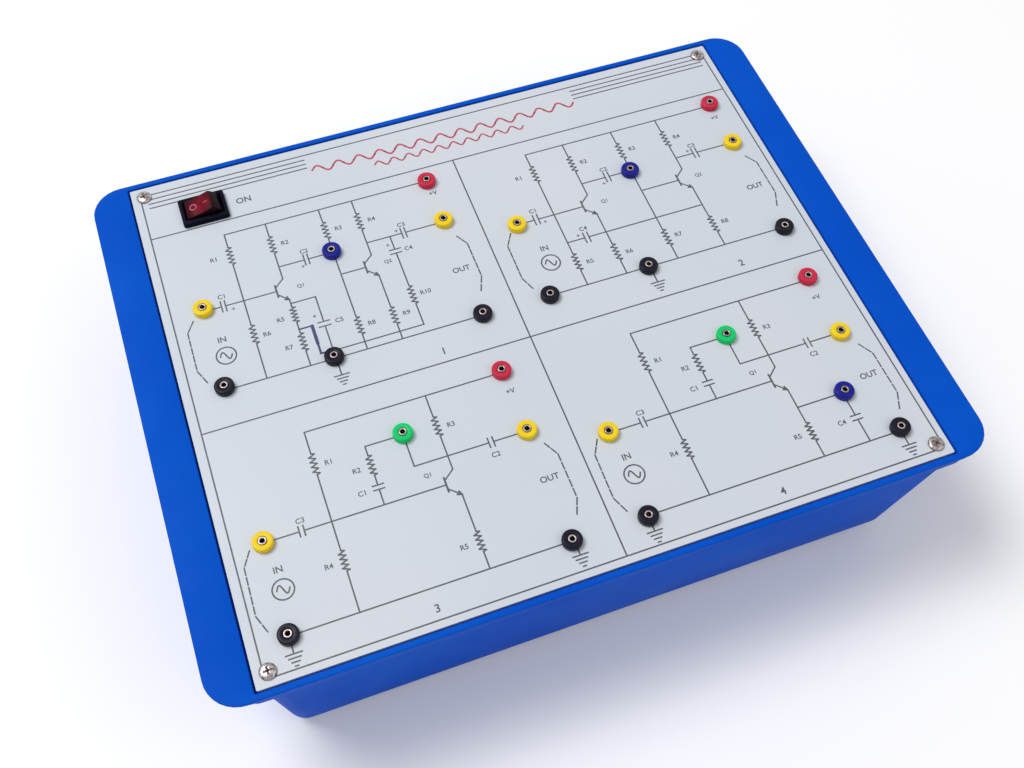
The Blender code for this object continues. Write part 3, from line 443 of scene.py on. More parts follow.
rear_lean = math.atan2(front_draft, tub_high.z - tub_low.z)
wall_turn = Matrix.Rotation(-math.pi / 2 - rear_lean, 3, "X")
grommet_middle = middle("mains_grommet")
grommet_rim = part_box("mains_grommet")[1][0] - grommet_middle.x
grommet_neck, grommet_bore = grommet_rim - 2.5 * mm, grommet_rim - 4 * mm
hole_radius = grommet_neck + fit
hole = bmesh.new()
bmesh.ops.create_cone(hole, cap_ends=True, segments=48, radius1=hole_radius, radius2=hole_radius, depth=16 * mm)
move(hole, grommet_middle, wall_turn)
cut_away(tub, hole, 40)
piece("board_pillars", pillars(), "cabinet_plastic")
print("pillars:", len(pillar_tops()), "cord hole at", in_mm(grommet_middle))

# %% [markdown]
# The panel is the frame's own solid, so only its finish changes: a white laminate with a faint cool
# drift. Its edge gets a small bevel from a modifier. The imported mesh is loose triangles, so a Weld
# has to join them before the Bevel can find an edge to work on.

# %% Finish the panel
def soften(node, width):
    """Welds a CAD node's triangles and rounds its edges a little."""
    target = frame["nodes"][node]
    arrange(target.modifiers.new("join_triangles", "WELD"), merge_threshold=0.005 * mm)
    arrange(target.modifiers.new("soft_edges", "BEVEL"), width=width, segments=2, limit_method="ANGLE",
            angle_limit=math.radians(40), harden_normals=True)


def dress(node, material):
    """Gives a CAD node its finish."""
    mesh = frame["nodes"][node].data
    mesh.materials.clear()
    mesh.materials.append(bpy.data.materials[material])


dress("front_panel", "panel_laminate")
soften("front_panel", 0.15 * mm)
print("panel in mm:", in_mm(panel_high - panel_low))

# %% [markdown]
# The print is silk-screened: even lines about 0.65 mm wide, with square ends. Each stroke is a
# two-point curve with a bevel, so that strokes can cross and meet at any angle without thin
# corners. All the strokes of one colour become one mesh, pressed flat to a film on the panel.
# Places on the print are in millimetres from its own middle, as a screen maker would give them. The
# screen lay a little low on this panel, by the slip below.

# %% Write the printing helpers
line_width = 0.65
ink_film = 0.035 * mm
screen_slip = Vector((0.15, -0.65))
ink_layers = {"print_ink": [], "red_ink": [], "blue_ink": []}
lettering = []


def stroke(*points, width=line_width, layer="print_ink"):
    """Straight strokes through points on the panel, each with square ends that overlap the next."""
    for start, end in zip(points, points[1:]):
        ink_layers[layer].append((Vector(start), Vector(end), width))


def dashes(points):
    """A dashed line along straight legs."""
    dash, gap = 3.1, 1.1
    for start, end in zip(points, points[1:]):
        leg = Vector(end) - Vector(start)
        count = max(1, round((leg.length + gap) / (dash + gap)))
        pace = leg / count
        inked = pace * dash / (dash + gap)
        for number in range(count):
            first = Vector(start) + pace * number
            stroke(first, first + inked)


def resistor(x, top, bottom):
    """The zigzag of an upright resistor, which starts and ends with a tooth to the right."""
    teeth, reach = 9, 1.2
    pitch = (top - bottom) / teeth
    points = [(x, top)]
    for tooth in range(teeth):
        side = reach if tooth % 2 == 0 else -reach
        points.append((x + side, top - pitch * (tooth + 0.5)))
    stroke(*points, (x, bottom), width=0.72)


def wire_down(x, top, bottom, resistors=()):
    """An upright wire with resistors in it, each given by its top and bottom."""
    start = top
    for upper, lower in resistors:
        stroke((x, start), (x, upper))
        resistor(x, upper, lower)
        start = lower
    stroke((x, start), (x, bottom))


def wire_across(y, left, right, capacitors=(), plate=2.8):
    """A level wire with capacitors in it, each given by the places of its two plates."""
    start = left
    for near, far in capacitors:
        stroke((start, y), (near, y))
        for place in (near, far):
            stroke((place, y - plate), (place, y + plate))
        start = far
    stroke((start, y), (right, y))


def upright_capacitor(x, upper, lower, plate=2.5):
    """The two level plates of a capacitor in an upright wire."""
    for place in (upper, lower):
        stroke((x - plate, place), (x + plate, place))


collector_rise, emitter_drop = 5.8, 6


def transistor(base_x, base_y, wire_x):
    """A bar, the collector and emitter legs up to the upright wire, and the emitter's arrow head."""
    stroke((base_x, base_y + 3.2), (base_x, base_y - 3.1), width=0.85)
    stroke((base_x, base_y + 2), (wire_x, base_y + collector_rise))
    foot = Vector((wire_x, base_y - emitter_drop))
    stroke((base_x, base_y - 1.8), foot)
    back = (Vector((base_x, base_y - 1.8)) - foot).normalized()
    for side in (-1, 1):
        barb = foot + 1.7 * (back + side * 0.45 * back.orthogonal())
        stroke(foot, barb, width=0.75)


def stage(bar, base_y, column, rail, earth_rail, above, below):
    """A transistor with the resistors above its collector and below its emitter."""
    wire_down(column, rail, base_y + collector_rise, above)
    transistor(bar, base_y, column)
    wire_down(column, base_y - emitter_drop, earth_rail, below)


def earth(x, top, first_bar):
    """The earth sign: a wire down to four level bars that get shorter."""
    stroke((x, top), (x, first_bar))
    for number, width in enumerate((6.2, 4.5, 2.9, 1.1)):
        y = first_bar - 1.57 * number
        stroke((x - width / 2, y), (x + width / 2, y), width=0.64)


def plus_signs(*places):
    """The small plus signs at capacitors' positive plates."""
    arm = 0.65
    for x, y in places:
        stroke((x - arm, y), (x + arm, y), width=0.35)
        stroke((x, y - arm), (x, y + arm), width=0.35)


def label(words, x, y, cap=2.3):
    """Plain lettering centred on a point, with the height of its capitals."""
    lettering.append((words, x, y, cap))


# %% [markdown]
# The outline, the header rule and the two dividers split the panel into a header and four cells.
# Ruled lines flank the heading's place, which holds a plain wave in red.

# %% Print the frame and the header
def print_frame():
    left, right, top, bottom = -141.2, 141.8, 118.4, -118.7
    header, split_x, split_y = 92.6, 1.2, -12.2
    stroke((left, bottom), (left, top))
    stroke((right, bottom + 3), (right, top))
    stroke((left, top), (right, top))
    stroke((left, bottom), (right - 3, bottom))
    stroke((left, header), (right, header))
    stroke((split_x, header), (split_x, bottom))
    stroke((left, split_y), (right, split_y))
    for y in (115.6, 113.0, 110.5):
        stroke((-138, y), (-64.8, y))
        stroke((69.6, y), (139, y))


def wave(left, right, y, height, count, width, layer):
    """A sine wave in short strokes."""
    steps = count * 16
    points = []
    for step in range(steps + 1):
        share = step / steps
        points.append((left + (right - left) * share, y + height * math.sin(math.tau * count * share)))
    stroke(*points, width=width, layer=layer)


print_frame()
wave(-62.6, 68.4, 108.3, 2.0, 13, 0.95, "red_ink")
wave(-34.0, 40.0, 102.0, 1.5, 10, 0.8, "red_ink")
label("ON", -96.9, 101.65, cap=3.3)
print("strokes so far:", sum(len(layer) for layer in ink_layers.values()))

# %% [markdown]
# Each cell holds one amplifier as a textbook would draw it: supply rail on top, earth rail below,
# and the stages between. The wires end at the sockets, so their ends are read from the frame.

# %% Read the sockets' places
def socket_at(name):
    """A socket's place on the print, in millimetres."""
    at = middle(name) / mm
    return at.x - screen_slip.x, at.y - screen_slip.y


at = {name[len("socket_"):]: socket_at(name) for name in socket_nodes}
print("first circuit's input at", [round(part, 1) for part in at["1_input_yellow"]])

# %% Print the upper circuits
def upper_circuit(number, rail, base_y, columns, bars, resistors, plates, earth_place):
    """Two stages in a row: each has a divider for its base, and capacitors join them and the sockets."""
    earth_rail, link_y, second_y = 5.0, 59.2, 46.3
    v1, v2, v3, v4 = columns
    supply, way_in, way_out, black_in, black, black_out = (at[f"{number}_{end}"] for end in (
        "supply_red", "input_yellow", "output_yellow", "input_ground_black", "middle_ground_black",
        "output_ground_black"))
    divider, above, below, second_divider, second_above, second_below = resistors
    stroke((v1, rail), (supply[0], rail))
    wire_down(v1, rail, earth_rail, divider)
    wire_across(base_y, way_in[0], bars[0], [plates[0]])
    stage(bars[0], base_y, v2, rail, earth_rail, above, below)
    wire_across(link_y, v2, v3, [plates[1]])
    wire_down(v3, rail, earth_rail, second_divider)
    stroke((v3, second_y), (bars[1], second_y))
    stage(bars[1], second_y, v4, rail, earth_rail, second_above, second_below)
    wire_across(link_y, v4, way_out[0], [plates[2]])
    stroke((black_in[0], earth_rail), (black_out[0], earth_rail))
    earth(earth_place[0], black[1], earth_place[1])


def series_feedback():
    """From the first circuit's output back to its first emitter, past the emitter's own capacitor."""
    emitter, bypass, output = -91.0, -80, -39.8
    stroke((emitter, 38.4), (bypass, 38.4), (bypass, 24.7))
    upright_capacitor(bypass, 24.7, 22.3)
    stroke((bypass, 22.3), (bypass, at["1_middle_ground_black"][1]))
    stroke((emitter, 24.2), (-85.3, 24.2), width=0.8, layer="blue_ink")
    stroke((-85.3, 24), (-85.3, 15), width=1.5, layer="blue_ink")
    stroke((-85.3, 15), (-85.3, 9.4), (-82, 9.2), width=1.0, layer="blue_ink")
    stroke((bypass, 9), (output, 9))
    wire_down(output, 49.4, 9, [(30.4, 20.4)])
    upright_capacitor(output, 51.6, 49.4)
    stroke((output, 51.6), (output, 59.2))


upper_circuit(1, 84.6, 46.6, (-109.8, -91.0, -66.2, -50.6), (-95.2, -54.9),
              ([(77.1, 67.1), (33.1, 23.1)], [(77, 67)], [(36.5, 28), (22.3, 12.8)], [(77, 67), (22.3, 12.8)],
               [(76.9, 66.9)], [(22.3, 12.8)]),
              ((-119.6, -117.8), (-79.4, -77.6), (-34.2, -32.4)), (-79.95, -3.75))
series_feedback()
plus_signs((-115, 44), (-80.8, 56), (-36.2, 61.3), (-42.1, 54.8), (-83, 28.6))

upper_circuit(2, 84.4, 46.4, (34.6, 53.4, 78.2, 101.4), (49, 97),
              ([(76.8, 66.8), (22.8, 13.3)], [(76.8, 66.8)], [(22.1, 12.6)], [(76.8, 66.8), (22.1, 12.6)],
               [(76.8, 66.8)], [(22.2, 12.7)]),
              ((25, 27), (65.2, 67.2), (110.4, 112.4)), (64.4, -3.95))
wire_across(29.4, 34.6, 101.4, [(43, 45)])
plus_signs((29.4, 44), (63.4, 56), (108.4, 61.3), (40.6, 31.6))
print("strokes so far:", sum(len(layer) for layer in ink_layers.values()))

# %% [markdown]
# The two lower circuits share one plan. Only their places differ, and the right one has a
# capacitor beside its emitter resistor, with a blue socket to join it.

# %% Print the lower circuits
def print_lower_circuit(number, v1, branch, v3, bar, input_plates, output_plates, earth_places):
    """One stage, with a feedback branch from its collector's output to its base."""
    rail, base_y, earth_rail, out_y = -25.0, -66.7, -105.8, -54.6
    feedback = at[f"{number}_feedback_green"]
    stroke((v1, rail), (at[f"{number}_supply_red"][0], rail))
    wire_down(v1, rail, earth_rail, [(-35.3, -45.3), (-79.5, -88.5)])
    stroke(feedback, (branch, feedback[1]))
    wire_down(branch, feedback[1], -57.6, [(-43.7, -53.2)])
    upright_capacitor(branch, -57.6, -59.6, plate=2.2)
    stroke((branch, -59.6), (branch, base_y))
    stroke(feedback, (feedback[0], out_y))
    wire_across(out_y, feedback[0], at[f"{number}_output_yellow"][0], [output_plates], plate=2.2)
    wire_across(base_y, at[f"{number}_input_yellow"][0], bar, [input_plates], plate=2.2)
    stage(bar, base_y, v3, rail, earth_rail, [(-35.6, -45.1)], [(-89.4, -98.4)])
    black_in, black_out = at[f"{number}_input_ground_black"], at[f"{number}_output_ground_black"]
    stroke((black_in[0], earth_rail), (black_out[0], earth_rail))
    for (x, first_bar), black in zip(earth_places, (black_in, black_out)):
        earth(x, black[1], first_bar)


print_lower_circuit(3, -101.8, -80.4, -50.2, -54.8, (-114.8, -112.8), (-32.6, -30.6),
                    ((-128.9, -112.85), (-15.6, -112.25)))
print_lower_circuit(4, 42.2, 63.6, 93.6, 89.2, (29.2, 31.2), (111.4, 113.4), ((15.45, -112.75), (128.7, -112.65)))
blue = at["4_emitter_blue"]
bypass = blue[0] - 0.4
stroke((93.6, blue[1]), blue)
stroke((bypass, blue[1]), (bypass, -93))
upright_capacitor(bypass, -93, -95.2, plate=2.2)
stroke((bypass, -95.2), (bypass, -105.8))
print("strokes:", {name: len(layer) for name, layer in ink_layers.items()})

# %% [markdown]
# Dashed guides show which two sockets an instrument goes across. Then comes the lettering: plain
# designators beside each part, the way in and the way out, and a number for each circuit.

# %% Print the guides and the lettering
guides = [
    [(-132.7, 43.2), (-136.2, 37.8), (-136.4, 17.9), (-133.2, 10.2)],
    [(-11.3, 49.4), (-8.1, 44.0), (-8.0, 24.9), (-11.2, 16.4)],
    [(12.2, 42.8), (8.5, 36.4), (8.45, 17.6), (11.4, 10.2)],
    [(133.2, 49.5), (136.6, 44.2), (136.7, 24.8), (133.5, 16.4)],
    [(-134.8, -68.0), (-138.3, -74.2), (-138.7, -94.4), (-135.5, -102.6)],
    [(-11.4, -62.4), (-8.0, -68.6), (-7.85, -89.2), (-10.9, -96.8)],
    [(9.4, -67.9), (5.9, -74.2), (5.6, -94.4), (8.9, -102.3)],
    [(132.8, -62.6), (136.3, -68.6), (136.55, -89.2), (133.0, -97.6)],
]
for guide in guides:
    dashes(guide)

designators = {
    1: {"R": [(-117.4, 72.4), (-85.2, 71.6), (-60.4, 71.6), (-44.8, 71.6), (-97.2, 31.6), (-104.4, 26.6),
              (-97.2, 16.6), (-60.6, 17.4), (-45.0, 17.4), (-33.8, 25.2)],
        "C": [(-118.6, 51.8), (-78.4, 64.0), (-33.2, 64.0), (-33.8, 50.4), (-73.4, 23.4)],
        "Q": [(-84.6, 46.2), (-44.6, 46.2)]},
    2: {"R": [(26.6, 71.8), (59.2, 71.6), (84.0, 71.6), (107.2, 71.6), (40.4, 16.6), (59.2, 16.0),
              (84.0, 17.4), (107.2, 17.4)],
        "C": [(26.0, 51.6), (66.2, 64.0), (111.4, 64.0), (44.2, 34.6)],
        "Q": [(59.4, 46.2), (107.2, 46.2)]},
    3: {"R": [(-96.2, -41.2), (-86.6, -48.8), (-44.4, -41.2), (-107.8, -84.4), (-56.6, -94.2)],
        "C": [(-87.4, -59.2), (-31.6, -60.4), (-113.4, -62.2)],
        "Q": [(-60.6, -60.4)]},
    4: {"R": [(48.0, -41.2), (57.4, -48.8), (99.4, -41.2), (36.4, -84.4), (87.4, -94.2)],
        "C": [(56.6, -59.2), (112.4, -60.4), (30.8, -62.2), (107.6, -94.4)],
        "Q": [(83.4, -60.4)]},
}
for kinds in designators.values():
    for letter, places in kinds.items():
        for count, (x, y) in enumerate(places, 1):
            label(f"{letter}{count}", x, y)


def signal_mark(x, y):
    """A source's sign: a ring with one wave in it."""
    radius = 4.2
    points = [(x + radius * math.cos(math.tau * step / 32), y + radius * math.sin(math.tau * step / 32))
              for step in range(33)]
    stroke(*points)
    wave(x - 0.6 * radius, x + 0.6 * radius, y, 0.45 * radius, 1, line_width, "print_ink")


for number, side_in, side_out, high in ((1, -123.2, -15.2, 30.0), (2, 23.6, 129.4, 30.0),
                                        (3, -126.4, -15.0, -79.0), (4, 17.6, 129.4, -79.0)):
    label("IN", side_in, high, cap=2.8)
    signal_mark(side_in, high - 8.4)
    label("OUT", side_out, high + 1.5, cap=2.8)
for x, y in ((-13.6, 76.8), (129.8, 76.6), (-16, -34.6), (127, -34.6)):
    label("+V", x, y, cap=2.4)
for words, x, y in (("1", -36.0, -6.6), ("2", 104.0, -6.6), ("3", -74.0, -114.0), ("4", 70.6, -114.0)):
    label(words, x, y, cap=3.4)
print("words:", len(lettering))

# %% Press the ink onto the panel
def add_strokes(bm, strokes):
    """Turns strokes into flat bars: a bevelled two-point curve for each, pressed to the film's height."""
    curve = arrange(bpy.data.curves.new("strokes", "CURVE"), dimensions="3D", twist_mode="Z_UP", bevel_depth=0.5,
                    bevel_resolution=0, use_fill_caps=True)
    for start, end, width in strokes:
        along = (end - start).normalized() * width / 2
        spline = curve.splines.new("POLY")
        spline.points.add(1)
        for point, place in zip(spline.points, (start - along, end + along)):
            point.co = (place.x, place.y, 0, 1)
            point.radius = width
    made = bpy.data.objects.new("strokes", curve)
    mesh = bpy.data.meshes.new_from_object(made)
    mesh.transform(Matrix.Diagonal((mm, mm, ink_film / line_width, 1)))
    bm.from_mesh(mesh)
    bpy.data.objects.remove(made)


def add_words(bm, words, x, y, cap):
    """Adds lettering, scaled so that its capitals have their height and centred on its place."""
    curve = arrange(bpy.data.curves.new("words", "FONT"), body=words, offset=0.018, extrude=0.5, resolution_u=6)
    made = bpy.data.objects.new("words", curve)
    mesh = bpy.data.meshes.new_from_object(made)
    across, up = ([vert.co[axis] for vert in mesh.vertices] for axis in (0, 1))
    size = cap * mm / (max(up) - min(up))
    centre = Matrix.Translation((-(min(across) + max(across)) / 2, -(min(up) + max(up)) / 2, 0))
    mesh.transform(Matrix.Translation((x * mm, y * mm, 0)) @ Matrix.Diagonal((size, size, ink_film, 1)) @ centre)
    bm.from_mesh(mesh)
    bpy.data.objects.remove(made)


for layer, strokes in ink_layers.items():
    film = bmesh.new()
    add_strokes(film, strokes)
    for words in lettering if layer == "print_ink" else ():
        add_words(film, *words)
    seat = (screen_slip.x * mm, screen_slip.y * mm, panel_top + 0.2 * ink_film)
    printed = piece(f"printed_{layer}", film, layer, place=seat)
    print(printed.name, len(printed.data.polygons), "faces, film", round(printed.dimensions.z / mm, 3), "mm high")

# %% [markdown]
# A 2 mm socket is a nylon head with a rounded edge and a shallow well, and a plated sleeve that
# stands in the well and takes the plug. Under the panel a hexagon nut clamps it. Both pieces are
# turned from half of their section, and the ring at the head's edge gets its own bevel.

# %% Turn the sockets
head_radius, head_height, well_radius, sleeve_radius = 4.2 * mm, 2.9 * mm, 1.95 * mm, 1.7 * mm
panel_thickness = panel_high.z - panel_low.z


def socket_head():
    """The nylon head and its barrel, about the origin, the panel's top face at height 0."""
    barrel_end = -panel_thickness - 3.6 * mm
    well_floor = head_height - 0.7 * mm
    bm = turned([(sleeve_radius, well_floor), (well_radius, well_floor), (well_radius, head_height),
                (head_radius, head_height), (head_radius, proud), (3.0 * mm, proud), (3.0 * mm, barrel_end),
                (sleeve_radius, barrel_end)], 56)
    round_ring(bm, head_radius, head_height, 0.7 * mm, 5)
    round_ring(bm, well_radius, head_height, 0.2 * mm, 2)
    round_ring(bm, head_radius, proud, 0.15 * mm, 2)
    return bm


def socket_sleeve():
    """The plated sleeve with its bore and solder tail, and the nut under the panel."""
    lip = head_height + 0.2 * mm
    bore, bore_floor = 1.0 * mm, lip - 10 * mm
    shoulder, tail, tail_end = bore_floor - 0.8 * mm, 1.4 * mm, -panel_thickness - 8.2 * mm
    outside = sleeve_radius - 0.02 * mm
    bm = turned([(0, bore_floor), (bore, bore_floor), (bore, lip), (outside, lip), (outside, shoulder),
                (tail, shoulder), (tail, tail_end), (0, tail_end)], 40)
    round_ring(bm, bore, lip, 0.22 * mm, 3)
    round_ring(bm, outside, lip, 0.18 * mm, 3)
    nut_top = -panel_thickness - fit
    nut = bmesh.ops.create_cone(bm, cap_ends=True, segments=6, radius1=4.8 * mm, radius2=4.8 * mm, depth=2.4 * mm,
                                matrix=Matrix.Translation((0, 0, nut_top - 1.2 * mm)))["verts"]
    round_edges(bm, {edge for vert in nut for edge in vert.link_edges}, 0.2 * mm, 2)
    return bm


for node in socket_nodes:
    shade = node.rsplit("_", 1)[1]
    seat = on_panel(node)
    piece(f"{node}_head", socket_head(), f"socket_nylon_{shade}", [node], seat)
    piece(f"{node}_sleeve", socket_sleeve(), "nickel_plate", [node], seat)
print("sockets dressed:", len(socket_nodes))

# %% [markdown]
# The corner screws are pan heads with a cross recess. The dome is a spin of an arc, and the recess
# is cut with two crossed wedges. Bright metal alone would hide the cross under a white sky, so a
# dark cross lies in its bottom as painted shade, standing for the shade in the recess.

# %% Turn the panel screws
screw_crown = 1.5 * mm


def screw_body():
    """A pan-head screw about the origin, the panel's top face at height 0."""
    radius, rim, shank, length = 3.35 * mm, 0.5 * mm, 1.4 * mm, 13.5 * mm
    flatness, steps = 0.62, 8
    arc = []
    for step in range(1, steps):
        angle = math.pi / 2 * step / steps
        arc.append((radius * math.cos(angle) ** flatness, rim + (screw_crown - rim) * math.sin(angle)))
    return turned([(0, -length), (shank, -length + shank), (shank, proud), (radius, proud), (radius, rim), *arc,
                   (0, screw_crown)])


def crossed_wedges(turn, reach, width, low, high):
    """Two crossed wedges between two heights, narrower below, as a driver's tip is."""
    bm = bmesh.new()
    for quarter in (0, math.pi / 2):
        wedge = box(bm, (2 * reach, width, high - low), (0, 0, 0))
        lower = [vert for vert in wedge if vert.co.z < 0]
        bmesh.ops.scale(bm, vec=(0.6, 0.75, 1), verts=lower)
        bmesh.ops.translate(bm, vec=(0, 0, (low + high) / 2), verts=wedge)
        bmesh.ops.rotate(bm, cent=(0, 0, 0), matrix=Matrix.Rotation(quarter + turn, 3, "Z"), verts=wedge)
    return bm


for number, node in enumerate(screw_nodes):
    seat = on_panel(node)
    turn = math.radians(20 + 37 * number)
    screw = piece(f"{node}_head", screw_body(), "worn_nickel", [node], seat)
    recess = crossed_wedges(turn, 2.0 * mm, 0.95 * mm, screw_crown - 0.95 * mm, screw_crown + 0.4 * mm)
    move(recess, seat)
    cut_away(screw, recess)
    # A dark cross in the bottom of the recess, as painted shade.
    painted_recess_shade = crossed_wedges(turn, 1.7 * mm, 0.75 * mm, screw_crown - 0.93 * mm, screw_crown - 0.3 * mm)
    piece(f"{node}_grime", painted_recess_shade, "recess_painted_shade", [node], seat)
print("panel screws:", len(screw_nodes))

# %% [markdown]
# The switch has a glossy nylon bezel round a well, and in it a rocker that turns on a pin. The
# bezel is skinned from rounded rings again. The rocker's side view is one face, drawn from its
# arcs, extruded across and bevelled, then turned about its pin to the pressed position.

# %% Mould the switch housing
housing_low, housing_high = (Vector(corner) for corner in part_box("switch_housing"))
pivot = Vector(frame["joints"][0]["pos_m"])
rocker_half, rocker_rise, rocker_slope, rocker_tilt = 5.9 * mm, 6.0 * mm, math.radians(5), math.radians(18)
slope = math.tan(rocker_slope)
rocker_reach = math.hypot(rocker_half, rocker_rise)
rocker_half_width = 5.1 * mm
rocker_turn = Matrix.Rotation(-rocker_tilt, 3, "Y")


def mould_housing():
    """Bezel, well and body about the switch's middle, the panel's top face at height 0."""
    top, body_low, well_floor = housing_high.z - panel_top, -12 * mm, -9 * mm
    half_x, half_y = (housing_high.x - housing_low.x) / 2, (housing_high.y - housing_low.y) / 2
    window_x, window_y = rocker_reach + fit, rocker_half_width + fit
    corner, edge_round, lip = 1.2 * mm, 0.8 * mm, 0.3 * mm
    body = (9.5 * mm, 6.45 * mm, 0.6 * mm)
    bm = bmesh.new()
    outlines = [(window_x, window_y, lip, well_floor), (window_x, window_y, lip, top - 0.25 * mm),
                (window_x + lip, window_y + lip, 2 * lip, top)]
    for step in range(6):
        angle = math.pi / 2 * step / 5
        inset, drop = edge_round * (1 - math.sin(angle)), edge_round * (1 - math.cos(angle))
        outlines.append((half_x - inset, half_y - inset, corner - inset, top - drop))
    outlines += [(half_x, half_y, corner, proud), (*body, proud), (*body, body_low)]
    skin(bm, [plate_ring(bm, *outline, 6) for outline in outlines])
    return bm


def switch_terminals():
    """Three blades under the switch."""
    bm = bmesh.new()
    for number in (-1, 0, 1):
        box(bm, (0.8 * mm, 4.8 * mm, 8 * mm), (number * 6.8 * mm, 0, -15.5 * mm))
    round_edges(bm, list(bm.edges), 0.15 * mm, 2)
    return bm


switch_seat = on_panel("switch_housing")
piece("switch_bezel", mould_housing(), "switch_nylon", ["switch_housing"], switch_seat)
piece("switch_blades", switch_terminals(), "nickel_plate", ["switch_housing"], switch_seat)
print("switch in mm:", in_mm(housing_high - housing_low))

# %% Shape the rocker and its marks
def rocker_side():
    """The rocker's side view about its pin, level: two slopes that meet in a dip, and a round skirt."""
    centre_rise = rocker_rise - rocker_half * slope
    dip = 2.4 * mm
    points = []
    for step in range(-6, 7):
        share = step / 6
        points.append((dip * share, centre_rise + dip * slope / 2 * (1 + share ** 2)))
    crest = 0.3 * mm
    start = math.atan2(rocker_rise, rocker_half) - crest / rocker_reach
    right = [(rocker_half - crest, rocker_rise - crest * slope)]
    for step in range(17):
        angle = start - (start + math.radians(22)) * step / 16
        right.append((rocker_reach * math.cos(angle), rocker_reach * math.sin(angle)))
    return points + right + [(-x, z) for x, z in reversed(right)]


def shape_rocker():
    bm = bmesh.new()
    half = rocker_half_width
    face = bm.faces.new([bm.verts.new((x, -half, z)) for x, z in rocker_side()])
    grown = bmesh.ops.extrude_face_region(bm, geom=[face])["geom"]
    far_side = [item for item in grown if isinstance(item, bmesh.types.BMVert)]
    bmesh.ops.translate(bm, vec=(0, 2 * half, 0), verts=far_side)
    bmesh.ops.recalc_face_normals(bm, faces=bm.faces)
    sides = [edge for edge in bm.edges if edge.calc_face_angle(0) > math.radians(60)]
    round_edges(bm, sides, 0.3 * mm, 3)
    bmesh.ops.create_cone(bm, cap_ends=True, segments=24, radius1=mm, radius2=mm, depth=2 * half + 1.4 * mm,
                          matrix=Matrix.Rotation(math.pi / 2, 4, "X"))
    return bm


def on_slope(bm, x, lift):
    """Lays a mark on the rocker's slope, at a place along it and a small height over it."""
    tilt = -rocker_slope if x > 0 else rocker_slope
    move(bm, (x, 0, rocker_rise - (rocker_half - abs(x)) * slope + lift), Matrix.Rotation(tilt, 3, "Y"))
    return bm


off_mark = turned([(1.15 * mm, 0), (1.15 * mm, 0.08 * mm), (1.75 * mm, 0.08 * mm), (1.75 * mm, 0)], 40)
on_mark = bmesh.new()
box(on_mark, (2.3 * mm, 0.42 * mm, 0.06 * mm), (0, 0, 0))
for name, bm, material, stands_for in (
        ("rocker_cap", shape_rocker(), "rocker_plastic_painted_shade", ["rocker"]),
        ("rocker_off_mark", on_slope(off_mark, -2.7 * mm, -0.02 * mm), "rocker_mark", []),
        ("rocker_on_mark", on_slope(on_mark, 3.4 * mm, 0.01 * mm), "rocker_mark", [])):
    piece(name, bm, material, stands_for, pivot, rocker_turn, body="rocker", sharp=28)
print("rocker pin at", in_mm(pivot))

# %% [markdown]
# The rocker is clear red plastic over a small lamp. Shade is painted into its colour: it darkens
# away from the lamp's place and is nearly black at its far end and on its skirt, as the bezel's well
# shades them. Real scattering would be slow and noisy at this size. Two distances darken the
# colour: one from the lamp's place, and one below the top face.

# %% Paint shade into the rocker's colour
def fading(tree, value, near, far, left_over):
    """Falls softly from 1 to what is left over as a value goes from near to far."""
    return add(tree, "MapRange", {"Value": value, "From Min": near, "From Max": far, "To Min": 1.0,
                                  "To Max": left_over}, interpolation_type="SMOOTHSTEP").outputs["Result"]


def paint_rocker_shade(material, lamp, reach, left_over, crest, up):
    """Paints shade into a clear plastic's colour: darker away from its lamp's place, and on all that lies below its
    top face.
    """
    brightest_radius, skirt_depth, skirt_share, painted_shade_colour = 1.5 * mm, 1.0 * mm, 0.05, (0.004, 0.001, 0.002, 1.0)
    tree = bpy.data.materials[material].node_tree
    shader = tree.nodes["Principled BSDF"]
    away = add(tree, "VectorMath", {0: object_place(tree), 1: lamp}, operation="DISTANCE")
    below = add(tree, "VectorMath", {0: crest, 1: object_place(tree)}, operation="SUBTRACT")
    depth = add(tree, "VectorMath", {0: below.outputs["Vector"], 1: up}, operation="DOT_PRODUCT")
    both = add(tree, "Math", {0: fading(tree, away.outputs["Value"], brightest_radius, reach, left_over),
                              1: fading(tree, depth.outputs["Value"], 0.1 * mm, skirt_depth, skirt_share)},
               operation="MULTIPLY")
    # Mixes the painted shade colour into the base colour.
    dim = add(tree, "Mix", {"Factor": both.outputs["Value"], "A": painted_shade_colour,
                            "B": shader.inputs["Base Color"].links[0].from_socket}, data_type="RGBA")
    feed(tree, shader, {"Base Color": dim.outputs["Result"]})


crest = pivot + rocker_turn @ Vector((rocker_half, 0, rocker_rise))
top_normal = rocker_turn @ Vector((-math.sin(rocker_slope), 0, math.cos(rocker_slope)))
paint_rocker_shade("rocker_plastic_painted_shade", crest - Vector((4.8 * mm, 0, 1.5 * mm)), 7.5 * mm, 0.14, crest, top_normal)
print("rocker's crest at", in_mm(crest))

# %% [markdown]
# The feet and the grommet are rubber, both turned. Rubber shows by its soft corners and its lack of
# shine, so the bevels are wide and the finish is dull.

# %% Turn the feet and the grommet
def foot():
    """A foot about its own axis, standing on height 0."""
    hollow, hollow_depth, sole = 3.0 * mm, 0.5 * mm, 6.5 * mm
    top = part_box(foot_nodes[0])[1][2] + 0.28 * mm
    bm = turned([(0, hollow_depth), (hollow, hollow_depth), (hollow + 0.4 * mm, 0), (sole, 0), (sole + mm, top),
                (0, top)])
    round_ring(bm, sole, 0, 0.7 * mm, 4)
    return bm


for node in foot_nodes:
    piece(f"{node}_pad", foot(), "foot_rubber", [node], (*middle(node).xy, 0))


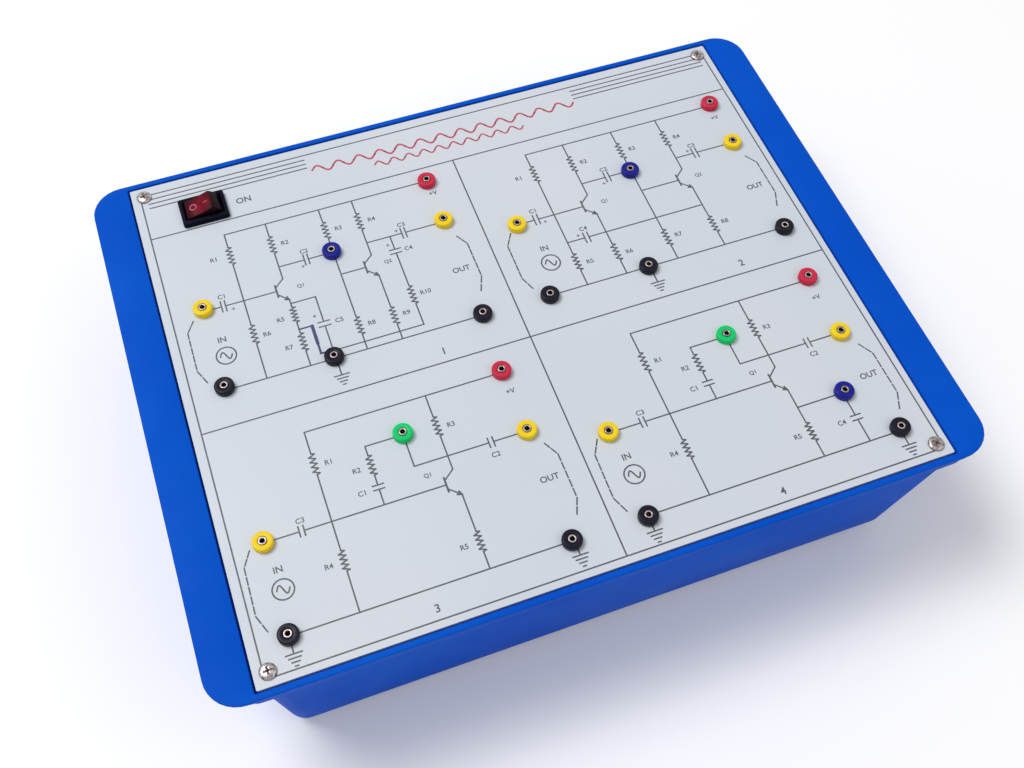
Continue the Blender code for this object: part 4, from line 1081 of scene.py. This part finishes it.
def grommet():
    """The grommet about its own axis: a flange on each side of the wall and a neck through it."""
    half_wall, flange = 1.6 * mm, 1.6 * mm
    outer = half_wall + flange
    bm = turned([(grommet_bore, -outer), (grommet_bore, outer), (grommet_rim, outer), (grommet_rim, half_wall),
                (grommet_neck, half_wall), (grommet_neck, -half_wall), (grommet_rim, -half_wall),
                (grommet_rim, -outer)])
    for height in (outer, -outer):
        round_ring(bm, grommet_rim, height, 0.7 * mm, 4)
        round_ring(bm, grommet_bore, height, 0.5 * mm, 3)
    return bm


piece("cord_grommet", grommet(), "foot_rubber", ["mains_grommet"], grommet_middle, wall_turn)

# %% [markdown]
# What stands inside is seen only with the panel off, but it gets its finish all the same. The
# transformer's core needs a pattern of its own: thin steel sheets, so bands across the stack.

# %% Finish the pieces inside
def banded(material, spacing, strength):
    """Adds thin bands across Y to a material's bump, as stacked sheets or wound wire show."""
    tree = material.node_tree
    shader = tree.nodes["Principled BSDF"]
    bands = add(tree, "TexWave", {"Vector": object_place(tree), "Scale": math.pi / (10 * spacing)},
                wave_type="BANDS", bands_direction="Y")
    ridges = add(tree, "Bump", {"Strength": strength, "Distance": 0.2 * mm, "Height": bands.outputs["Fac"],
                                "Normal": shader.inputs["Normal"].links[0].from_socket})
    feed(tree, shader, {"Normal": ridges.outputs["Normal"]})


finish("plated_strap", (184, 184, 186), (170, 168, 166), 0.6, (0.22, 0.38), metallic=1.0)
finish("board_resin", (32, 110, 58), (24, 92, 50), 0.8, (0.28, 0.42), patch=120.0)
finish("can_foil", (24, 34, 62), (34, 46, 78), 0.6, (0.25, 0.40), patch=80.0)
finish("moulded_resin", (30, 30, 31), (44, 44, 45), 0.7, (0.45, 0.62), patch=160.0)
finish("extruded_aluminium", (196, 198, 202), (180, 182, 188), 0.6, (0.28, 0.42), metallic=1.0)
finish("fuse_tube", (206, 214, 214), (190, 198, 200), 0.6, (0.08, 0.16), patch=200.0, Coat_Weight=0.4)
banded(finish("core_sheets", (98, 99, 102), (120, 112, 104), 0.7, (0.35, 0.55), metallic=1.0), 0.5 * mm, 0.5)
banded(finish("wound_tape", (222, 182, 62), (204, 160, 50), 0.7, (0.30, 0.45)), 6 * mm, 0.3)
inner_finishes = {
    "transformer_core": "core_sheets", "transformer_coil": "wound_tape", "transformer_strap": "plated_strap",
    "amplifier_board": "board_resin", "supply_board": "board_resin", "reservoir_capacitor": "can_foil",
    "bridge_rectifier": "moulded_resin", "voltage_regulator": "moulded_resin", "heat_sink": "extruded_aluminium",
    "supply_fuse": "fuse_tube",
}
for node in frame["nodes"]:
    if "_screw_" in node and node not in screw_nodes:
        inner_finishes[node] = "nickel_plate"
for node, material in inner_finishes.items():
    dress(node, material)
print("inner pieces:", len(inner_finishes))

# %% [markdown]
# The stage is a plain pale floor. The light is a large soft lamp from behind on the left, as the
# short shadows to the lower right of each socket tell, with an even sky to fill them. Floor and sky
# are whiter to the rays that end in the picture than to those that light the object, so that the
# white behind it adds no light to it. Far out, the floor goes over into the sky without an edge.

# %% Set the stage and the light
def rays_to_the_picture(tree):
    """1 on rays from the camera, also by way of a gloss or through something clear, and 0 on others."""
    path = tree.nodes.new("ShaderNodeLightPath").outputs
    total = path["Is Camera Ray"]
    for ray in ("Is Glossy Ray", "Is Transmission Ray"):
        total = add(tree, "Math", {0: total, 1: path[ray]}, operation="MAXIMUM").outputs[0]
    return total


def pale_floor():
    """A wide floor at the height that the feet stand on, which the camera sees as near white."""
    bm = bmesh.new()
    bmesh.ops.create_grid(bm, x_segments=1, y_segments=1, size=20.0)
    mesh = bpy.data.meshes.new("pale_floor")
    bm.to_mesh(mesh)
    bm.free()
    floor = in_scene("pale_floor", mesh)
    paint = finish("floor_paint", (251, 251, 252), (248, 248, 249), 0.5, (0.80, 0.90), patch=3.0, depth=0.01,
                   specular=0.1, Emission_Color=(1.0, 1.0, 1.0, 1.0))
    tree = paint.node_tree
    away = add(tree, "VectorMath", {0: object_place(tree)}, operation="LENGTH")
    rise = add(tree, "MapRange", {"Value": away.outputs["Value"], "From Min": 0.5, "From Max": 2.5,
                                  "To Min": 0.09, "To Max": 1.0}, interpolation_type="SMOOTHSTEP")
    glow = add(tree, "Math", {0: rays_to_the_picture(tree), 1: rise.outputs["Result"]}, operation="MULTIPLY")
    feed(tree, tree.nodes["Principled BSDF"], {"Emission Strength": glow.outputs["Value"]})
    mesh.materials.append(paint)


def soft_lamp(name, place, power):
    """A square area lamp that faces the object."""
    lamp = arrange(bpy.data.lights.new(name, "AREA"), shape="SQUARE", size=1.2, energy=power)
    made = in_scene(name, lamp)
    made.location = place
    made.rotation_euler = (Vector((0, 0, 0.05)) - Vector(place)).to_track_quat("-Z", "Y").to_euler()


def even_sky(lighting, seen):
    """A white sky that lights with one strength, and is seen, straight or in a gloss, with another."""
    world = bpy.data.worlds.new("even_sky")
    world.use_nodes = True
    tree = world.node_tree
    strength = add(tree, "MapRange", {"Value": rays_to_the_picture(tree), "To Min": lighting, "To Max": seen})
    feed(tree, tree.nodes["Background"], {"Color": (1.0, 1.0, 1.0, 1.0), "Strength": strength.outputs["Result"]})
    bpy.context.scene.world = world


pale_floor()
soft_lamp("window", (-0.95, 0.75, 2.3), 40.0)
soft_lamp("fill", (0.9, -0.9, 1.3), 3.6)
even_sky(0.42, 1.0)
bpy.context.scene.view_settings.view_transform = "Standard"
print("lamps:", [light.name for light in bpy.data.lights])

# %% [markdown]
# The camera stands where the photograph was taken from: over the front edge, a little to the left,
# looking down steeply. Its distance, in millimetres, and its lens were fitted to the panel's corners.

# %% Place the camera
azimuth, down, roll = math.radians(21.6), math.radians(59.48), math.radians(1.84)
distance = 484.35
aim = Vector((-14.14 * mm, -32.32 * mm, panel_top))
view = Vector((math.cos(down) * math.sin(azimuth), math.cos(down) * math.cos(azimuth), -math.sin(down)))
camera = in_scene("photographer", arrange(bpy.data.cameras.new("photographer"), sensor_width=36.0, lens=40.74))
camera.location = aim - view * distance * mm
upright = view.to_track_quat("-Z", "Y").to_matrix()
camera.rotation_euler = (upright @ Matrix.Rotation(roll, 3, "Z")).to_euler()
bpy.context.scene.camera = camera
print("camera at", in_mm(camera.location), "mm, its axes", upright @ Matrix.Rotation(roll, 3, "Z"))
